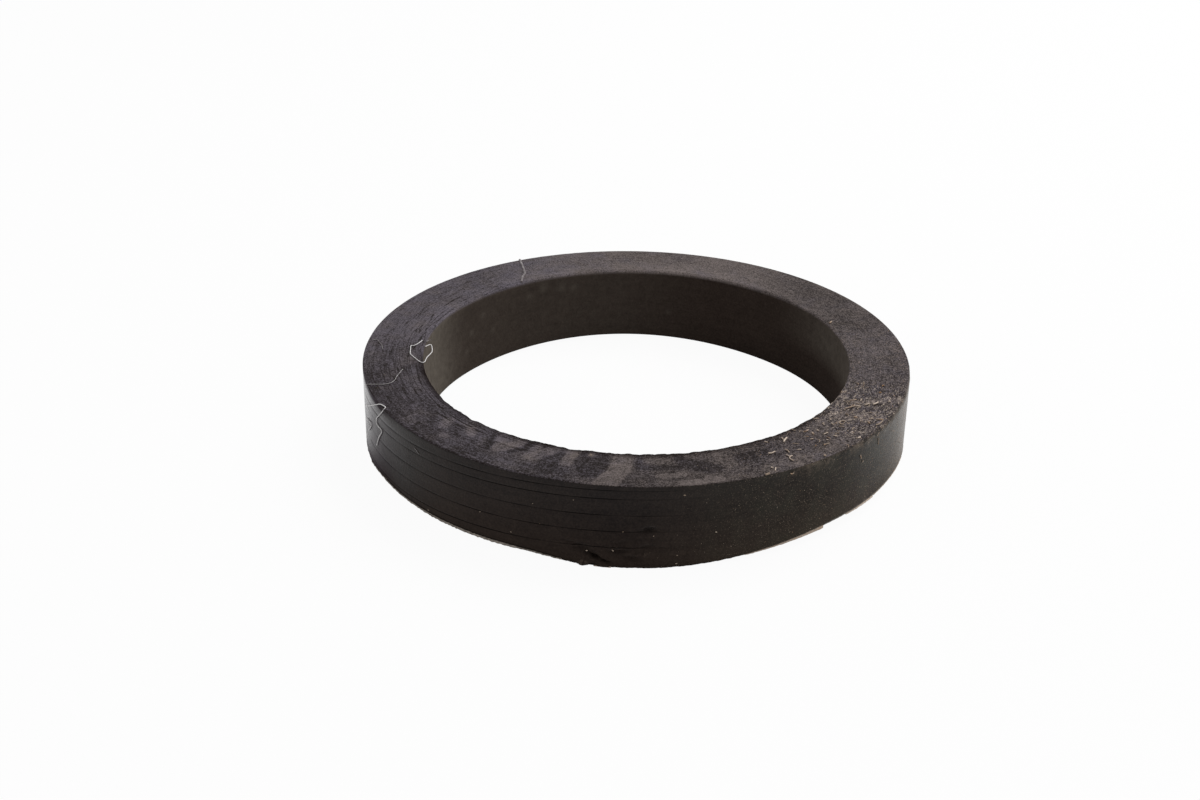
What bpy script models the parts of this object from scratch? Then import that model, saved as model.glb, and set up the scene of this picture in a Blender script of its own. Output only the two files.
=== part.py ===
"""A worn rubber sealing ring with a square section, for a 40 mm waste pipe.

Units are metres, with +Z up. The ring lies on its lower face, which is at height 0, and it is
centred on the Z axis. Azimuths are degrees about +Z from +X, so -90 is the side that faces the
viewer in front. The ring is one piece of rubber: it was parted off a tube with a knife, and its
lower edges have since been worn and torn.
"""
import math

import bmesh
import bpy

MM = 0.001

# Driving sizes of the ring: a bore that grips the pipe, and the section round it
BORE_DIAMETER = 39.0 * MM
SECTION_WIDTH = 5.5 * MM
RING_HEIGHT = 7.65 * MM

# Corners of the section as they were cut
TOP_OUTER_ROUND = 0.20 * MM
TOP_BORE_ROUND = 0.25 * MM
BASE_EDGE_ROUND = 0.12 * MM

# Knife lines round the outer wall, placed down from the top face at its front
LINE_DEPTH = 0.10 * MM
LINE_WIDTH = 0.24 * MM
FIRST_LINE_DROP = 0.42 * MM
SECOND_LINE_DROP = 1.20 * MM
LINE_PITCH = 1.50 * MM

# The cut was out of square, so the lines dip away from their highest place at the front
LINE_TOP_AZIMUTH = -85.0
LEFT_LINE_DIP = 1.05 * MM
RIGHT_LINE_DIP = 0.40 * MM

# Wear of the lower outer edge: how far it is lifted off the base
PLAIN_LIFT = 0.10 * MM
LEFT_LIFT = 0.46 * MM
RIGHT_LIFT = 0.99 * MM

# Wear of the lower bore edge
BORE_PLAIN_LIFT = 0.20 * MM
BORE_BACK_LIFT = 0.54 * MM

# Wear of the top outer edge at the right
TOP_RIGHT_ROUND = 0.60 * MM

# Where each worn stretch lies: middle, flat half width and shoulder, in degrees
LEFT_STRETCH = (-131.0, 19.0, 17.0)
RIGHT_STRETCH = (-38.0, 6.0, 44.0)
BACK_STRETCH = (97.0, 0.0, 55.0)
TOP_RIGHT_STRETCH = (-26.0, 8.0, 16.0)
SHARP_STRETCH = (-87.0, 8.0, 6.0)

# A worn edge turns under more flatly than it rises
WORN_RUN_PER_RISE = 2.2

# Tears and hollows in the outer wall near the front: azimuth in degrees, then height, half
# length, half height and depth. A negative depth stands out.
TORN_MARKS = (
    (-98.9, 0.35 * MM, 0.60 * MM, 0.50 * MM, -0.28 * MM),
    (-96.1, 0.85 * MM, 0.75 * MM, 0.40 * MM, 0.45 * MM),
    (-99.6, 1.50 * MM, 0.80 * MM, 0.45 * MM, 0.18 * MM),
    (-93.0, 1.45 * MM, 0.80 * MM, 0.45 * MM, 0.14 * MM),
    (-89.2, 1.10 * MM, 0.65 * MM, 0.50 * MM, 0.14 * MM),
    (-87.0, 3.60 * MM, 0.70 * MM, 0.40 * MM, 0.16 * MM),
)

# Cross-sections are closer together along the torn stretch, in degrees
TORN_START = -105.0
TORN_END = -84.0
FINE_STEP = 1.0
COARSE_STEP = 3.0

# Plain rows of points up the walls
LOW_WALL_ROWS = 3
BORE_ROWS = 2
CORNER_STEPS = 2

RUBBER_COLOUR = (0.052, 0.048, 0.046, 1.0)
RUBBER_ROUGHNESS = 0.85

BORE_RADIUS = BORE_DIAMETER / 2
OUTER_RADIUS = BORE_RADIUS + SECTION_WIDTH


def turn_between(azimuth, middle):
    """Signed angle in degrees from middle to azimuth, between -180 and 180."""
    return (azimuth - middle + 180.0) % 360.0 - 180.0


def worn(azimuth, stretch):
    """How far a stretch is worn at an azimuth: 1 on its flat, easing to 0 past its shoulders."""
    middle, flat, shoulder = stretch
    past_flat = abs(turn_between(azimuth, middle)) - flat
    share = min(max(past_flat / shoulder, 0.0), 1.0)
    return (1.0 + math.cos(math.pi * share)) / 2


def outer_lift(azimuth):
    """Height of the lower outer edge above the base."""
    plain = PLAIN_LIFT * (1.0 - worn(azimuth, SHARP_STRETCH))
    left = LEFT_LIFT * worn(azimuth, LEFT_STRETCH)
    right = RIGHT_LIFT * worn(azimuth, RIGHT_STRETCH)
    return max(plain, left, right)


def bore_lift(azimuth):
    """Height of the lower bore edge above the base."""
    extra = BORE_BACK_LIFT - BORE_PLAIN_LIFT
    return BORE_PLAIN_LIFT + extra * worn(azimuth, BACK_STRETCH)


def top_outer_round(azimuth):
    """Rounding of the top outer edge."""
    extra = TOP_RIGHT_ROUND - TOP_OUTER_ROUND
    return TOP_OUTER_ROUND + extra * worn(azimuth, TOP_RIGHT_STRETCH)


def line_dip(azimuth):
    """How far the knife lines lie below their height at the front."""
    turn = turn_between(azimuth, LINE_TOP_AZIMUTH)
    side_dip = LEFT_LINE_DIP if turn < 0 else RIGHT_LINE_DIP
    if abs(turn) < 90.0:
        return side_dip * math.sin(math.radians(turn)) ** 2
    round_the_back = math.radians((-90.0 - turn) % 360.0)
    left_share = (1.0 + math.cos(round_the_back)) / 2
    return RIGHT_LINE_DIP + (LEFT_LINE_DIP - RIGHT_LINE_DIP) * left_share


def front_line_heights():
    """Heights of the knife lines at the front, from the lowest up."""
    heights = [RING_HEIGHT - FIRST_LINE_DROP]
    height = RING_HEIGHT - SECOND_LINE_DROP
    lowest = max(LEFT_LIFT + LEFT_LINE_DIP, RIGHT_LIFT + RIGHT_LINE_DIP) + LINE_WIDTH
    while height > lowest:
        heights.append(height)
        height -= LINE_PITCH
    return heights[::-1]


def mark_depth(azimuth, height):
    """Depth of the tears and hollows at a place on the outer wall."""
    depth = 0.0
    for middle, mark_height, half_length, half_height, mark in TORN_MARKS:
        along = math.radians(turn_between(azimuth, middle)) * OUTER_RADIUS / half_length
        up = (height - mark_height) / half_height
        distance = min(math.hypot(along, up), 1.0)
        depth += mark * (1.0 + math.cos(math.pi * distance)) / 2
    return depth


def corner(centre_radius, centre_height, rounding, start_turn):
    """Points of a quarter turn round a corner's centre, anticlockwise in the section."""
    points = []
    for step in range(CORNER_STEPS + 1):
        turn = math.radians(start_turn + 90.0 * step / CORNER_STEPS)
        radius = centre_radius + rounding * math.cos(turn)
        height = centre_height + rounding * math.sin(turn)
        points.append((radius, height))
    return points


def rows_between(radius, low, high, count):
    """Evenly spaced points up a wall, between but not at its ends."""
    step = (high - low) / (count + 1)
    return [(radius, low + step * (row + 1)) for row in range(count)]


def lower_outer_edge(azimuth):
    """The turned-under lower edge, from the flat base out to the wall."""
    lift = outer_lift(azimuth)
    run = lift * WORN_RUN_PER_RISE + 2 * BASE_EDGE_ROUND
    edge = corner(OUTER_RADIUS - BASE_EDGE_ROUND, lift + BASE_EDGE_ROUND, BASE_EDGE_ROUND, -90.0)
    return [(OUTER_RADIUS - run, 0.0)] + edge


def outer_wall(azimuth):
    """The wall with its knife lines, between the lower edge and the top edge."""
    dip = line_dip(azimuth)
    lines = [height - dip for height in front_line_heights()]
    wall_foot = outer_lift(azimuth) + BASE_EDGE_ROUND
    points = rows_between(OUTER_RADIUS, wall_foot, lines[0] - LINE_WIDTH / 2, LOW_WALL_ROWS)
    for height in lines:
        points.append((OUTER_RADIUS, height - LINE_WIDTH / 2))
        points.append((OUTER_RADIUS - LINE_DEPTH, height))
        points.append((OUTER_RADIUS, height + LINE_WIDTH / 2))
    return points


def top_edges(azimuth):
    """The two rounded edges of the flat top face."""
    outer = top_outer_round(azimuth)
    outer_edge = corner(OUTER_RADIUS - outer, RING_HEIGHT - outer, outer, 0.0)
    bore_edge = corner(BORE_RADIUS + TOP_BORE_ROUND, RING_HEIGHT - TOP_BORE_ROUND,
                       TOP_BORE_ROUND, 90.0)
    return outer_edge + bore_edge


def bore_wall(azimuth):
    """The bore from its top edge down, and its turned-under lower edge."""
    lift = bore_lift(azimuth)
    run = lift * WORN_RUN_PER_RISE + 2 * BASE_EDGE_ROUND
    rows = rows_between(BORE_RADIUS, lift + BASE_EDGE_ROUND, RING_HEIGHT - TOP_BORE_ROUND, BORE_ROWS)
    edge = corner(BORE_RADIUS + BASE_EDGE_ROUND, lift + BASE_EDGE_ROUND, BASE_EDGE_ROUND, 180.0)
    return rows[::-1] + edge + [(BORE_RADIUS + run, 0.0)]


def section(azimuth):
    """The whole outline at one azimuth, as radii and heights, with the outer wall's marks."""
    outside = lower_outer_edge(azimuth)[1:] + outer_wall(azimuth)
    marked = [(radius - mark_depth(azimuth, height), height) for radius, height in outside]
    return lower_outer_edge(azimuth)[:1] + marked + top_edges(azimuth) + bore_wall(azimuth)


def stations():
    """Azimuths of the cross-sections, once round the ring."""
    azimuths = []
    azimuth = TORN_START
    while azimuth < TORN_START + 360.0:
        azimuths.append(azimuth)
        azimuth += FINE_STEP if azimuth < TORN_END else COARSE_STEP
    return azimuths


def section_loop(shape, azimuth):
    """Adds the points of one cross-section to the shape."""
    turn = math.radians(azimuth)
    loop = []
    for radius, height in section(azimuth):
        loop.append(shape.verts.new((radius * math.cos(turn), radius * math.sin(turn), height)))
    return loop


def bridge(shape, here, ahead):
    """Adds the faces between two neighbouring cross-sections."""
    count = len(here)
    for point in range(count):
        after = (point + 1) % count
        shape.faces.new((here[point], here[after], ahead[after], ahead[point]))


def ring_mesh():
    """The ring as one closed mesh."""
    shape = bmesh.new()
    loops = [section_loop(shape, azimuth) for azimuth in stations()]
    for here, ahead in zip(loops, loops[1:] + loops[:1]):
        bridge(shape, here, ahead)
    bmesh.ops.recalc_face_normals(shape, faces=shape.faces)
    mesh = bpy.data.meshes.new("sealing_ring")
    shape.to_mesh(mesh)
    shape.free()
    mesh.shade_smooth()
    mesh.set_sharp_from_angle(angle=math.radians(35.0))
    return mesh


def rubber():
    """Black filled rubber, dull where it was cut."""
    material = bpy.data.materials.new("rubber")
    material.use_nodes = True
    shader = material.node_tree.nodes["Principled BSDF"]
    shader.inputs["Base Color"].default_value = RUBBER_COLOUR
    shader.inputs["Metallic"].default_value = 0.0
    shader.inputs["Roughness"].default_value = RUBBER_ROUGHNESS
    return material


def clear_scene():
    """Removes whatever the scene starts with."""
    for item in list(bpy.data.objects):
        bpy.data.objects.remove(item, do_unlink=True)


def main():
    clear_scene()
    ring = bpy.data.objects.new("sealing_ring", ring_mesh())
    ring.data.materials.append(rubber())
    bpy.context.scene.collection.objects.link(ring)


main()
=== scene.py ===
"""A worn rubber sealing ring, with the dust and lint that cling to it, on a plain pale floor.

Units are metres, with +Z up, except in tables that say millimetres. The frame gives the ring's
real size and place: it lies on its lower face at height 0 and is centred on the Z axis. Azimuths
are degrees about +Z from +X, so -90 is the side that faces the camera.
"""
import math
import random

import bmesh
import bpy
import numpy as np
from mathutils import Matrix, Quaternion, Vector


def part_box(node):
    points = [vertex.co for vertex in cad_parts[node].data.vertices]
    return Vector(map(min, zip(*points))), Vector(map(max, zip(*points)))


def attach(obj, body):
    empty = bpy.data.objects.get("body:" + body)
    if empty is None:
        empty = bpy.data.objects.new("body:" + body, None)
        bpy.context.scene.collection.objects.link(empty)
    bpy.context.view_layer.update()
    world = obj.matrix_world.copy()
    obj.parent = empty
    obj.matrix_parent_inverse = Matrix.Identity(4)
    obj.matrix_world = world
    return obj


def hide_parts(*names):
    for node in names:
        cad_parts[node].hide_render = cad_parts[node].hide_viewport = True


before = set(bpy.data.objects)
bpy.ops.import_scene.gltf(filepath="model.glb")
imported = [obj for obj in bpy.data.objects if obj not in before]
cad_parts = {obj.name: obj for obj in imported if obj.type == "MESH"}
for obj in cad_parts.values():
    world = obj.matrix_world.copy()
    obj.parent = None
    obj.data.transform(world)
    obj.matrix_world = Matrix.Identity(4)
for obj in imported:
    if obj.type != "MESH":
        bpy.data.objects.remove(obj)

bl_info = {
    "name": "Worn Rubber Sealing Ring",
    "version": (1, 0, 0),
    "blender": (4, 5, 0),
    "location": "View3D > Sidebar > Sealing Ring",
    "description": "Makes a worn rubber sealing ring and the dust and lint that cling to it",
    "category": "Add Mesh",
}

MM = 0.001
BODY = "root"
RING_NODE = "sealing_ring"

# The ring's own sizes, read from the frame
ring_low, ring_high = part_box(RING_NODE)
OUTER_RADIUS = (ring_high.x - ring_low.x) / 2
RING_HEIGHT = ring_high.z
BORE_RADIUS = min(math.hypot(v.co.x, v.co.y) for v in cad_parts[RING_NODE].data.vertices)
MIDDLE_RADIUS = (BORE_RADIUS + OUTER_RADIUS) / 2

# Corners of the section, as they were cut
TOP_OUTER_ROUND = 0.10 * MM
TOP_BORE_ROUND = 0.14 * MM
BASE_EDGE_ROUND = 0.12 * MM

# Knife lines round the outer wall, placed down from the top face at its front
FIRST_LINE_DROP = 0.42 * MM
SECOND_LINE_DROP = 1.20 * MM
LINE_PITCH = 1.50 * MM
LINE_COUNT = 5
LINE_PROFILE = (0.0, 0.8, 1.0, 0.8, 0.0)

# The cut was out of square, so the lines dip away from their highest place at the front
LINE_TOP_AZIMUTH = -85.0
LEFT_LINE_DIP = 1.05 * MM
RIGHT_LINE_DIP = 0.40 * MM

# Wear: how far the lower outer edge, the lower bore edge and the top edges are worn back
PLAIN_LIFT = 0.10 * MM
LEFT_LIFT = 0.46 * MM
RIGHT_LIFT = 0.99 * MM
BORE_PLAIN_LIFT = 0.20 * MM
BORE_BACK_LIFT = 0.54 * MM
TOP_RIGHT_ROUND = 0.60 * MM
TOP_BORE_BACK_ROUND = 0.50 * MM
TOP_BORE_LEFT_ROUND = 0.32 * MM
WORN_EDGE_ROUND = 0.45 * MM
WORN_RUN_PER_RISE = 2.2

# A rounder edge looks this share of its extra radius higher from the camera's side
ROUND_EDGE_RISE = 0.39

# Stretches of the ring: middle, flat half width and shoulder, in degrees
LEFT_STRETCH = (-131.0, 19.0, 17.0)
RIGHT_STRETCH = (-38.0, 6.0, 44.0)
BACK_STRETCH = (97.0, 0.0, 55.0)
TOP_RIGHT_STRETCH = (-26.0, 8.0, 16.0)
TOP_BORE_BACK_STRETCH = (100.0, 40.0, 44.0)
SHARP_STRETCH = (-87.0, 8.0, 6.0)
ROUGH_STRETCH = (-34.0, 22.0, 18.0)
DUSTY_STRETCH = (-26.0, 26.0, 34.0)
DUSTY_WALL_STRETCH = (-20.0, 36.0, 34.0)
WARM_FILM_AND_SHEEN_STRETCH = (4.0, 14.0, 26.0)
PAINTED_SHEEN_STRETCH = (-170.0, 6.0, 24.0)
CRUST_STRETCH = (-28.0, 8.0, 10.0)
SPILL_STRETCH = (-42.0, 9.0, 12.0)
VIOLET_STRETCH = (-175.0, 45.0, 60.0)
SCORED_STRETCH = (-172.0, 34.0, 50.0)
TOOTHED_STRETCH = (-112.0, 24.0, 40.0)
LEFT_LIP_STRETCH = (-138.0, 12.0, 8.0)
BARE_LIP_STRETCH = (-102.0, 62.0, 20.0)
CLEAR_LINE_STRETCH = (-133.0, 36.0, 22.0)
FRAYED_STRETCH = (-132.0, 24.0, 12.0)
GLOSSY_STRETCH = (-170.0, 18.0, 12.0)

# Stretches of the top face with more or less bloom on them than elsewhere. The broad one at
# the back, at 92 degrees, is a painted sheen where the top catches the bright surroundings.
TOP_BLOOM_AND_SHEEN_CHANGES = (
    ((92.0, 26.0, 28.0), 0.15),
    ((66.0, 6.0, 14.0), 0.05),
    ((156.0, 10.0, 16.0), 0.17),
    ((138.0, 6.0, 12.0), -0.05),
    ((118.0, 4.0, 12.0), 0.05),
    ((45.0, 4.0, 14.0), -0.10),
    ((30.0, 4.0, 14.0), 0.02),
    ((0.0, 4.0, 12.0), 0.05),
    ((-152.0, 8.0, 14.0), -0.09),
    ((-72.0, 8.0, 18.0), -0.06),
    ((-40.0, 10.0, 18.0), 0.04),
)

# Stretches where the top face is paler towards the bore, and by how much. At the back, at 100
# degrees, this paleness is a painted sheen.
PALE_LIPS_AND_SHEEN = (
    ((100.0, 52.0, 30.0), 0.145),
    ((-180.0, 3.0, 10.0), 0.15),
    ((-155.0, 6.0, 14.0), 0.15),
    ((-147.0, 8.0, 12.0), 0.07),
    ((-118.0, 10.0, 12.0), 0.04),
)
PALE_LIP_RADII = (19.8 * MM, 22.5 * MM)

# Stretches of the bore with a dry brown film on them: its share, and the height where it starts.
# The film is partly painted light, which makes the lit parts of the bore paler.
BORE_FILMS_AND_LIGHT = (
    ((176.0, 6.0, 24.0), 0.86, -2.0 * MM),
    ((122.0, 16.0, 42.0), 0.22, -2.0 * MM),
    ((6.0, 8.0, 34.0), 0.58, 3.0 * MM),
)
FILM_AND_LIGHT_RISE = 2.0 * MM

# Soft pale blotches in the bore: azimuth, height and reach in millimetres, and share of film
BORE_BLOTCHES = (
    (146.5, 4.3, 0.30, 0.35),
    (152.5, 3.2, 0.28, 0.30),
    (141.5, 5.6, 0.28, 0.30),
    (137.5, 3.6, 0.26, 0.25),
    (149.0, 2.4, 0.30, 0.25),
    (113.5, 6.3, 0.50, 0.28),
    (109.5, 6.2, 0.40, 0.22),
    (119.5, 6.6, 0.45, 0.25),
    (124.0, 6.0, 0.35, 0.20),
    (80.7, 3.3, 0.28, 0.22),
)
BARE_LIP_REACH = 0.52 * MM

# Tears, hollows and creases in the outer wall: azimuth, then height, half length, half height
# and depth in millimetres, and tilt in degrees. A negative depth stands out.
WALL_MARKS = (
    (-99.0, 0.30, 0.60, 0.50, -0.34, 0.0),
    (-97.2, 0.05, 0.50, 0.34, 0.30, 0.0),
    (-98.9, 1.50, 1.60, 0.80, 0.16, -22.0),
    (-96.5, 0.84, 1.25, 0.28, 0.40, -25.0),
    (-94.4, 0.46, 0.90, 0.24, 0.20, -12.0),
    (-95.6, 0.14, 1.00, 0.20, -0.14, -8.0),
    (-101.8, 2.10, 1.20, 0.20, 0.10, -14.0),
    (-94.0, 1.96, 0.45, 0.14, -0.10, -35.0),
    (-92.6, 1.98, 0.45, 0.14, -0.10, 40.0),
    (-92.2, 1.50, 1.30, 0.38, 0.20, 6.0),
    (-89.8, 0.90, 1.30, 0.46, 0.19, -10.0),
    (-86.9, 1.44, 1.10, 0.24, -0.08, 34.0),
    (-86.7, 2.06, 1.30, 0.28, 0.12, 6.0),
    (-86.9, 3.58, 1.20, 0.46, 0.22, 4.0),
    (-91.8, 2.40, 1.90, 0.16, 0.09, 10.0),
    (-83.6, 1.88, 2.60, 0.13, 0.09, -2.0),
)
MARK_WARP = 1.0

# Smears on the top face: azimuth and radius at the bore's side, the same at the outer side,
# half width, and tone. Radii and half widths are in millimetres. A negative tone is a rubbed,
# darker streak.
SMEARS = (
    (-122.6, 20.3, -120.4, 22.3, 0.50, 0.65),
    (-117.2, 20.4, -119.2, 21.8, 0.58, 0.65),
    (-120.0, 20.4, -120.0, 21.6, 0.80, 0.4),
    (-112.9, 20.4, -113.0, 22.0, 0.52, 0.55),
    (-109.0, 20.4, -111.6, 22.0, 0.72, 0.55),
    (-104.3, 20.3, -104.4, 22.0, 0.60, 0.6),
    (-99.8, 20.2, -99.5, 20.2, 0.30, 1.2),
    (-92.4, 20.1, -92.6, 22.4, 0.92, 0.6),
    (-93.4, 22.4, -95.0, 24.8, 0.95, 0.9),
    (-99.8, 24.4, -97.6, 24.4, 0.42, 0.3),
    (-86.4, 20.7, -82.8, 20.7, 0.52, 0.45),
    (-84.4, 23.3, -80.4, 23.2, 0.48, 0.8),
    (-80.6, 24.5, -73.4, 24.4, 0.45, 0.8),
    (-74.8, 23.9, -73.6, 24.2, 0.50, 0.4),
    (-76.5, 20.4, -67.5, 20.5, 0.28, 0.2),
    (-70.2, 20.8, -69.2, 22.2, 0.70, 0.4),
    (-137.4, 21.4, -136.4, 22.2, 0.60, 0.7),
    (-134.2, 22.9, -132.8, 23.3, 0.50, 0.5),
    (-130.9, 21.0, -128.6, 21.6, 0.42, 0.7),
    (-125.6, 21.6, -125.0, 22.4, 0.40, 0.5),
    (-147.5, 22.3, -144.5, 22.7, 0.45, 0.45),
    (-144.5, 23.4, -141.5, 24.0, 0.40, 0.4),
    (-126.5, 24.3, -113.6, 24.4, 0.42, 0.2),
    (-114.9, 19.8, -115.3, 21.2, 0.30, -1.5),
    (-115.4, 21.2, -117.4, 22.2, 0.22, -1.5),
    (-106.8, 20.8, -107.7, 21.9, 0.36, -1.2),
    (-107.9, 22.1, -107.6, 23.4, 0.90, -0.8),
    (-101.5, 19.8, -101.7, 21.0, 0.30, -1.3),
    (-100.8, 21.4, -98.8, 23.0, 0.90, -0.9),
    (-97.5, 20.4, -97.1, 22.4, 0.72, -1.1),
    (-110.8, 23.9, -100.8, 23.9, 0.80, -0.5),
    (-88.5, 19.8, -88.9, 22.0, 0.28, -1.0),
    (-90.2, 23.4, -88.4, 23.3, 0.38, -0.15),
    (-154.0, 24.1, -146.5, 24.2, 0.50, -0.5),
    (-87.5, 21.9, -80.0, 22.0, 0.38, -0.9),
    (-78.0, 21.5, -73.2, 22.6, 0.80, -0.9),
    (-79.4, 19.9, -79.7, 21.0, 0.38, -1.0),
    (-65.5, 21.6, -60.5, 21.4, 0.65, -0.7),
    (-124.7, 20.6, -122.0, 22.7, 0.18, -1.2),
    (-149.0, 21.2, -143.0, 21.4, 0.50, -0.6),
    (-133.0, 21.6, -131.5, 22.6, 0.45, -0.5),
    (-141.0, 21.0, -140.0, 22.5, 0.45, -0.5),
    (-152.0, 24.9, -100.0, 24.9, 0.16, -0.9),
    (-46.0, 20.9, -33.0, 21.2, 1.00, 0.3),
    (-64.0, 24.2, -42.0, 24.0, 0.80, 0.4),
    (-33.5, 21.0, -29.5, 24.0, 0.70, 0.8),
    (-25.6, 21.4, -20.4, 24.4, 0.50, 0.7),
)
SMEAR_EDGE = 0.22 * MM

# Mesh density: stations round the ring, crowded towards the front, and points up the section
STATION_COUNT = 640
STATION_MIDDLE = -80.0
STATION_CROWDING = 0.56
WALL_ROW = 0.165 * MM
LOW_WALL_ROWS = 16
HIGH_WALL_ROWS = 3
TOP_ROWS = 29
BORE_ROWS = 24
UNDER_ROWS = 5
CORNER_STEPS = 5

# The kinds of wear, each a change of the section that grows in step with its amount
WEAR_KINDS = ("outer_lift", "bore_lift", "top_round", "lip_round", "edge_round", "line_dip")

# Corners of the section with relief of their own: radius, height and reach
RELIEF_CORNERS = {
    "by_foot": (OUTER_RADIUS, 0.0, 0.45 * MM),
    "by_lip": (BORE_RADIUS, RING_HEIGHT, 0.4 * MM),
    "by_top_edge": (OUTER_RADIUS, RING_HEIGHT, 0.8 * MM),
}

# The least share of the knife lines, the scoring and the teeth outside their own stretches, and
# the share of the teeth on the rough stretch
LEAST_LINE = 0.08
LEAST_SCORING = 0.25
LEAST_SEEN_SCORING = 0.10
LEAST_TEETH = 0.15
ROUGH_TEETH = 0.4

# How strongly each face shines. The outer wall shines more towards its top, most of all along
# the stretches at the far left and right, which have kept more of the mould's gloss.
WALL_SHINE = 0.128
DUSTY_SHINE_SHARE = 0.88
TOP_SHINE = 0.040
BORE_SHINE = 0.020
GLOSS_BOOSTS = (
    ((-175.0, 12.0, 9.0), 0.65),
    ((-50.0, 5.0, 9.0), -0.22),
    ((-5.0, 8.0, 12.0), 0.9),
)
# Where the warm film paints the far right wall's sheen in colour, the wall's own shine is lessened
WARM_FILM_AND_SHEEN_DULLING = 0.5
GLOSS_STEEPENINGS = (
    ((-170.0, 18.0, 12.0), 1.3),
    ((-14.0, 12.0, 16.0), 0.4),
)
DULL_STRIP_STRETCH = (-168.0, 16.0, 14.0)
DULL_STRIP_SHARE = 0.02
DULL_STRIP_DROPS = (0.80 * MM, 0.40 * MM)

# How much bloom lies on each face. The outer wall is also painted paler towards its foot, with
# painted light that lifts the shade falling on the foot.
TOP_BLOOM = 0.26
WALL_BLOOM = 0.25
WALL_PAINTED_LIGHT_PER_MM = -0.022
DUSTY_WALL_BLOOM = 0.04
BORE_BLOOM = 0.60

# Stretches of the outer wall's foot painted paler, partly bloom and partly painted light: its
# amount, and the heights where it fades
FOOT_BLOOMS_AND_PAINTED_LIGHT = (
    ((0.0, 180.0, 1.0), 0.25, (0.8 * MM, 4.5 * MM)),
    ((-105.0, 35.0, 20.0), 0.08, (0.9 * MM, 1.6 * MM)),
    ((-121.0, 10.0, 14.0), 0.14, (3.5 * MM, 9.0 * MM)),
    ((-152.0, 5.0, 7.0), 0.15, (1.0 * MM, 2.4 * MM)),
    ((-62.0, 18.0, 16.0), 0.08, (2.0 * MM, 8.0 * MM)),
    ((-44.0, 6.0, 12.0), 0.22, (1.5 * MM, 4.0 * MM)),
    ((-144.0, 5.0, 8.0), -0.07, (3.0 * MM, 6.0 * MM)),
    ((-127.0, 5.0, 9.0), 0.05, (8.0 * MM, 9.0 * MM)),
)

# How much each pattern changes the bloom: on the smears' edges, the top face and the outer wall
PATTERN_MIDDLE = 0.5
SMEAR_LAYERS = (("mottle", 0.6), ("grain", 0.6))
TOP_LAYERS = (("grain", 0.70), ("mottle", 0.45), ("cloud", 0.42))
WALL_LAYERS = (("wall_brush", 0.30), ("grain", 0.8), ("mottle", 0.35), ("cloud", 0.3))

# The strokes that the dust film on the right wall, and the warm sheen painted with it, are drawn
# out in
STROKE_SLANT = 40.0
STROKE_SIZE = (0.20 * MM, 0.50 * MM, 0.08 * MM)

# A face counts as the top where it faces up, and where it lies near the ring's top
FACING_UP = (0.35, 0.75)
TOP_REACH = 1.0 * MM

# The frayed lower rim, the dark line above it and its crumbs, up from the edge's rounding
LOW_RIM_FADE = (-0.26 * MM, -0.12 * MM)
RIM_LINE_HEIGHT = -0.02 * MM
RIM_LINE_REACH = 0.09 * MM
CRUMBS_START = (-0.38 * MM, -0.30 * MM)
CRUMBS_END = (-0.18 * MM, -0.06 * MM)

# The crust that spills over the top outer edge, down from the top
SPILL_DROPS = (1.1 * MM, 0.2 * MM)

# How densely flecks lie on each part of the ring, as shares of the most
LEAST_FLECKS = 0.0015
TOP_FLECKS = 0.16
TOP_SIDE_FLECKS = 0.50
WALL_FLECKS = 0.4
CRUSTED_WALL_FLECKS = 1.0
LOW_RIM_FLECKS = 0.3
HIGH_RIM_FLECKS = 0.6
BORE_SIDE_RADII = (20.2 * MM, 23.0 * MM)
OUTER_SIDE_RADII = (23.6 * MM, 24.6 * MM)

# How large the flecks are on the walls, and how much larger on the top and on its crust
FLECK_SCALE = 0.38
TOP_FLECK_GAIN = 0.06
CRUST_FLECK_GAIN = 0.46

# Where the camera stood, what it looked at and how it was tilted
CAMERA_PLACE = Vector((0.0, -145.16 * MM, 76.07 * MM))
CAMERA_TARGET = Vector((-3.25 * MM, 0.0, 2.65 * MM))
CAMERA_ROLL = 0.808
CAMERA_LENS = 52.20
CAMERA_SENSOR = 36.0
CAMERA_CLIP_START = 1.0 * MM

# The soft lamp behind the ring, to its right, and the floor
KEY_AZIMUTH = 35.0
KEY_ELEVATION = 52.0
KEY_DISTANCE = 0.36
KEY_SIZE = 0.26
FLOOR_HALF_SIZE = 1.5
FLOOR_WHITE_SHARE = 0.95
WHITE = (1.0, 1.0, 1.0, 1.0)


def on_top(azimuth, radius):
    """A place on the top face, as azimuth, radius and height."""
    return (azimuth, radius * MM, RING_HEIGHT)


def on_wall(azimuth, height):
    """A place on the outer wall, as azimuth, radius and height."""
    return (azimuth, OUTER_RADIUS, height * MM)


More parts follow.
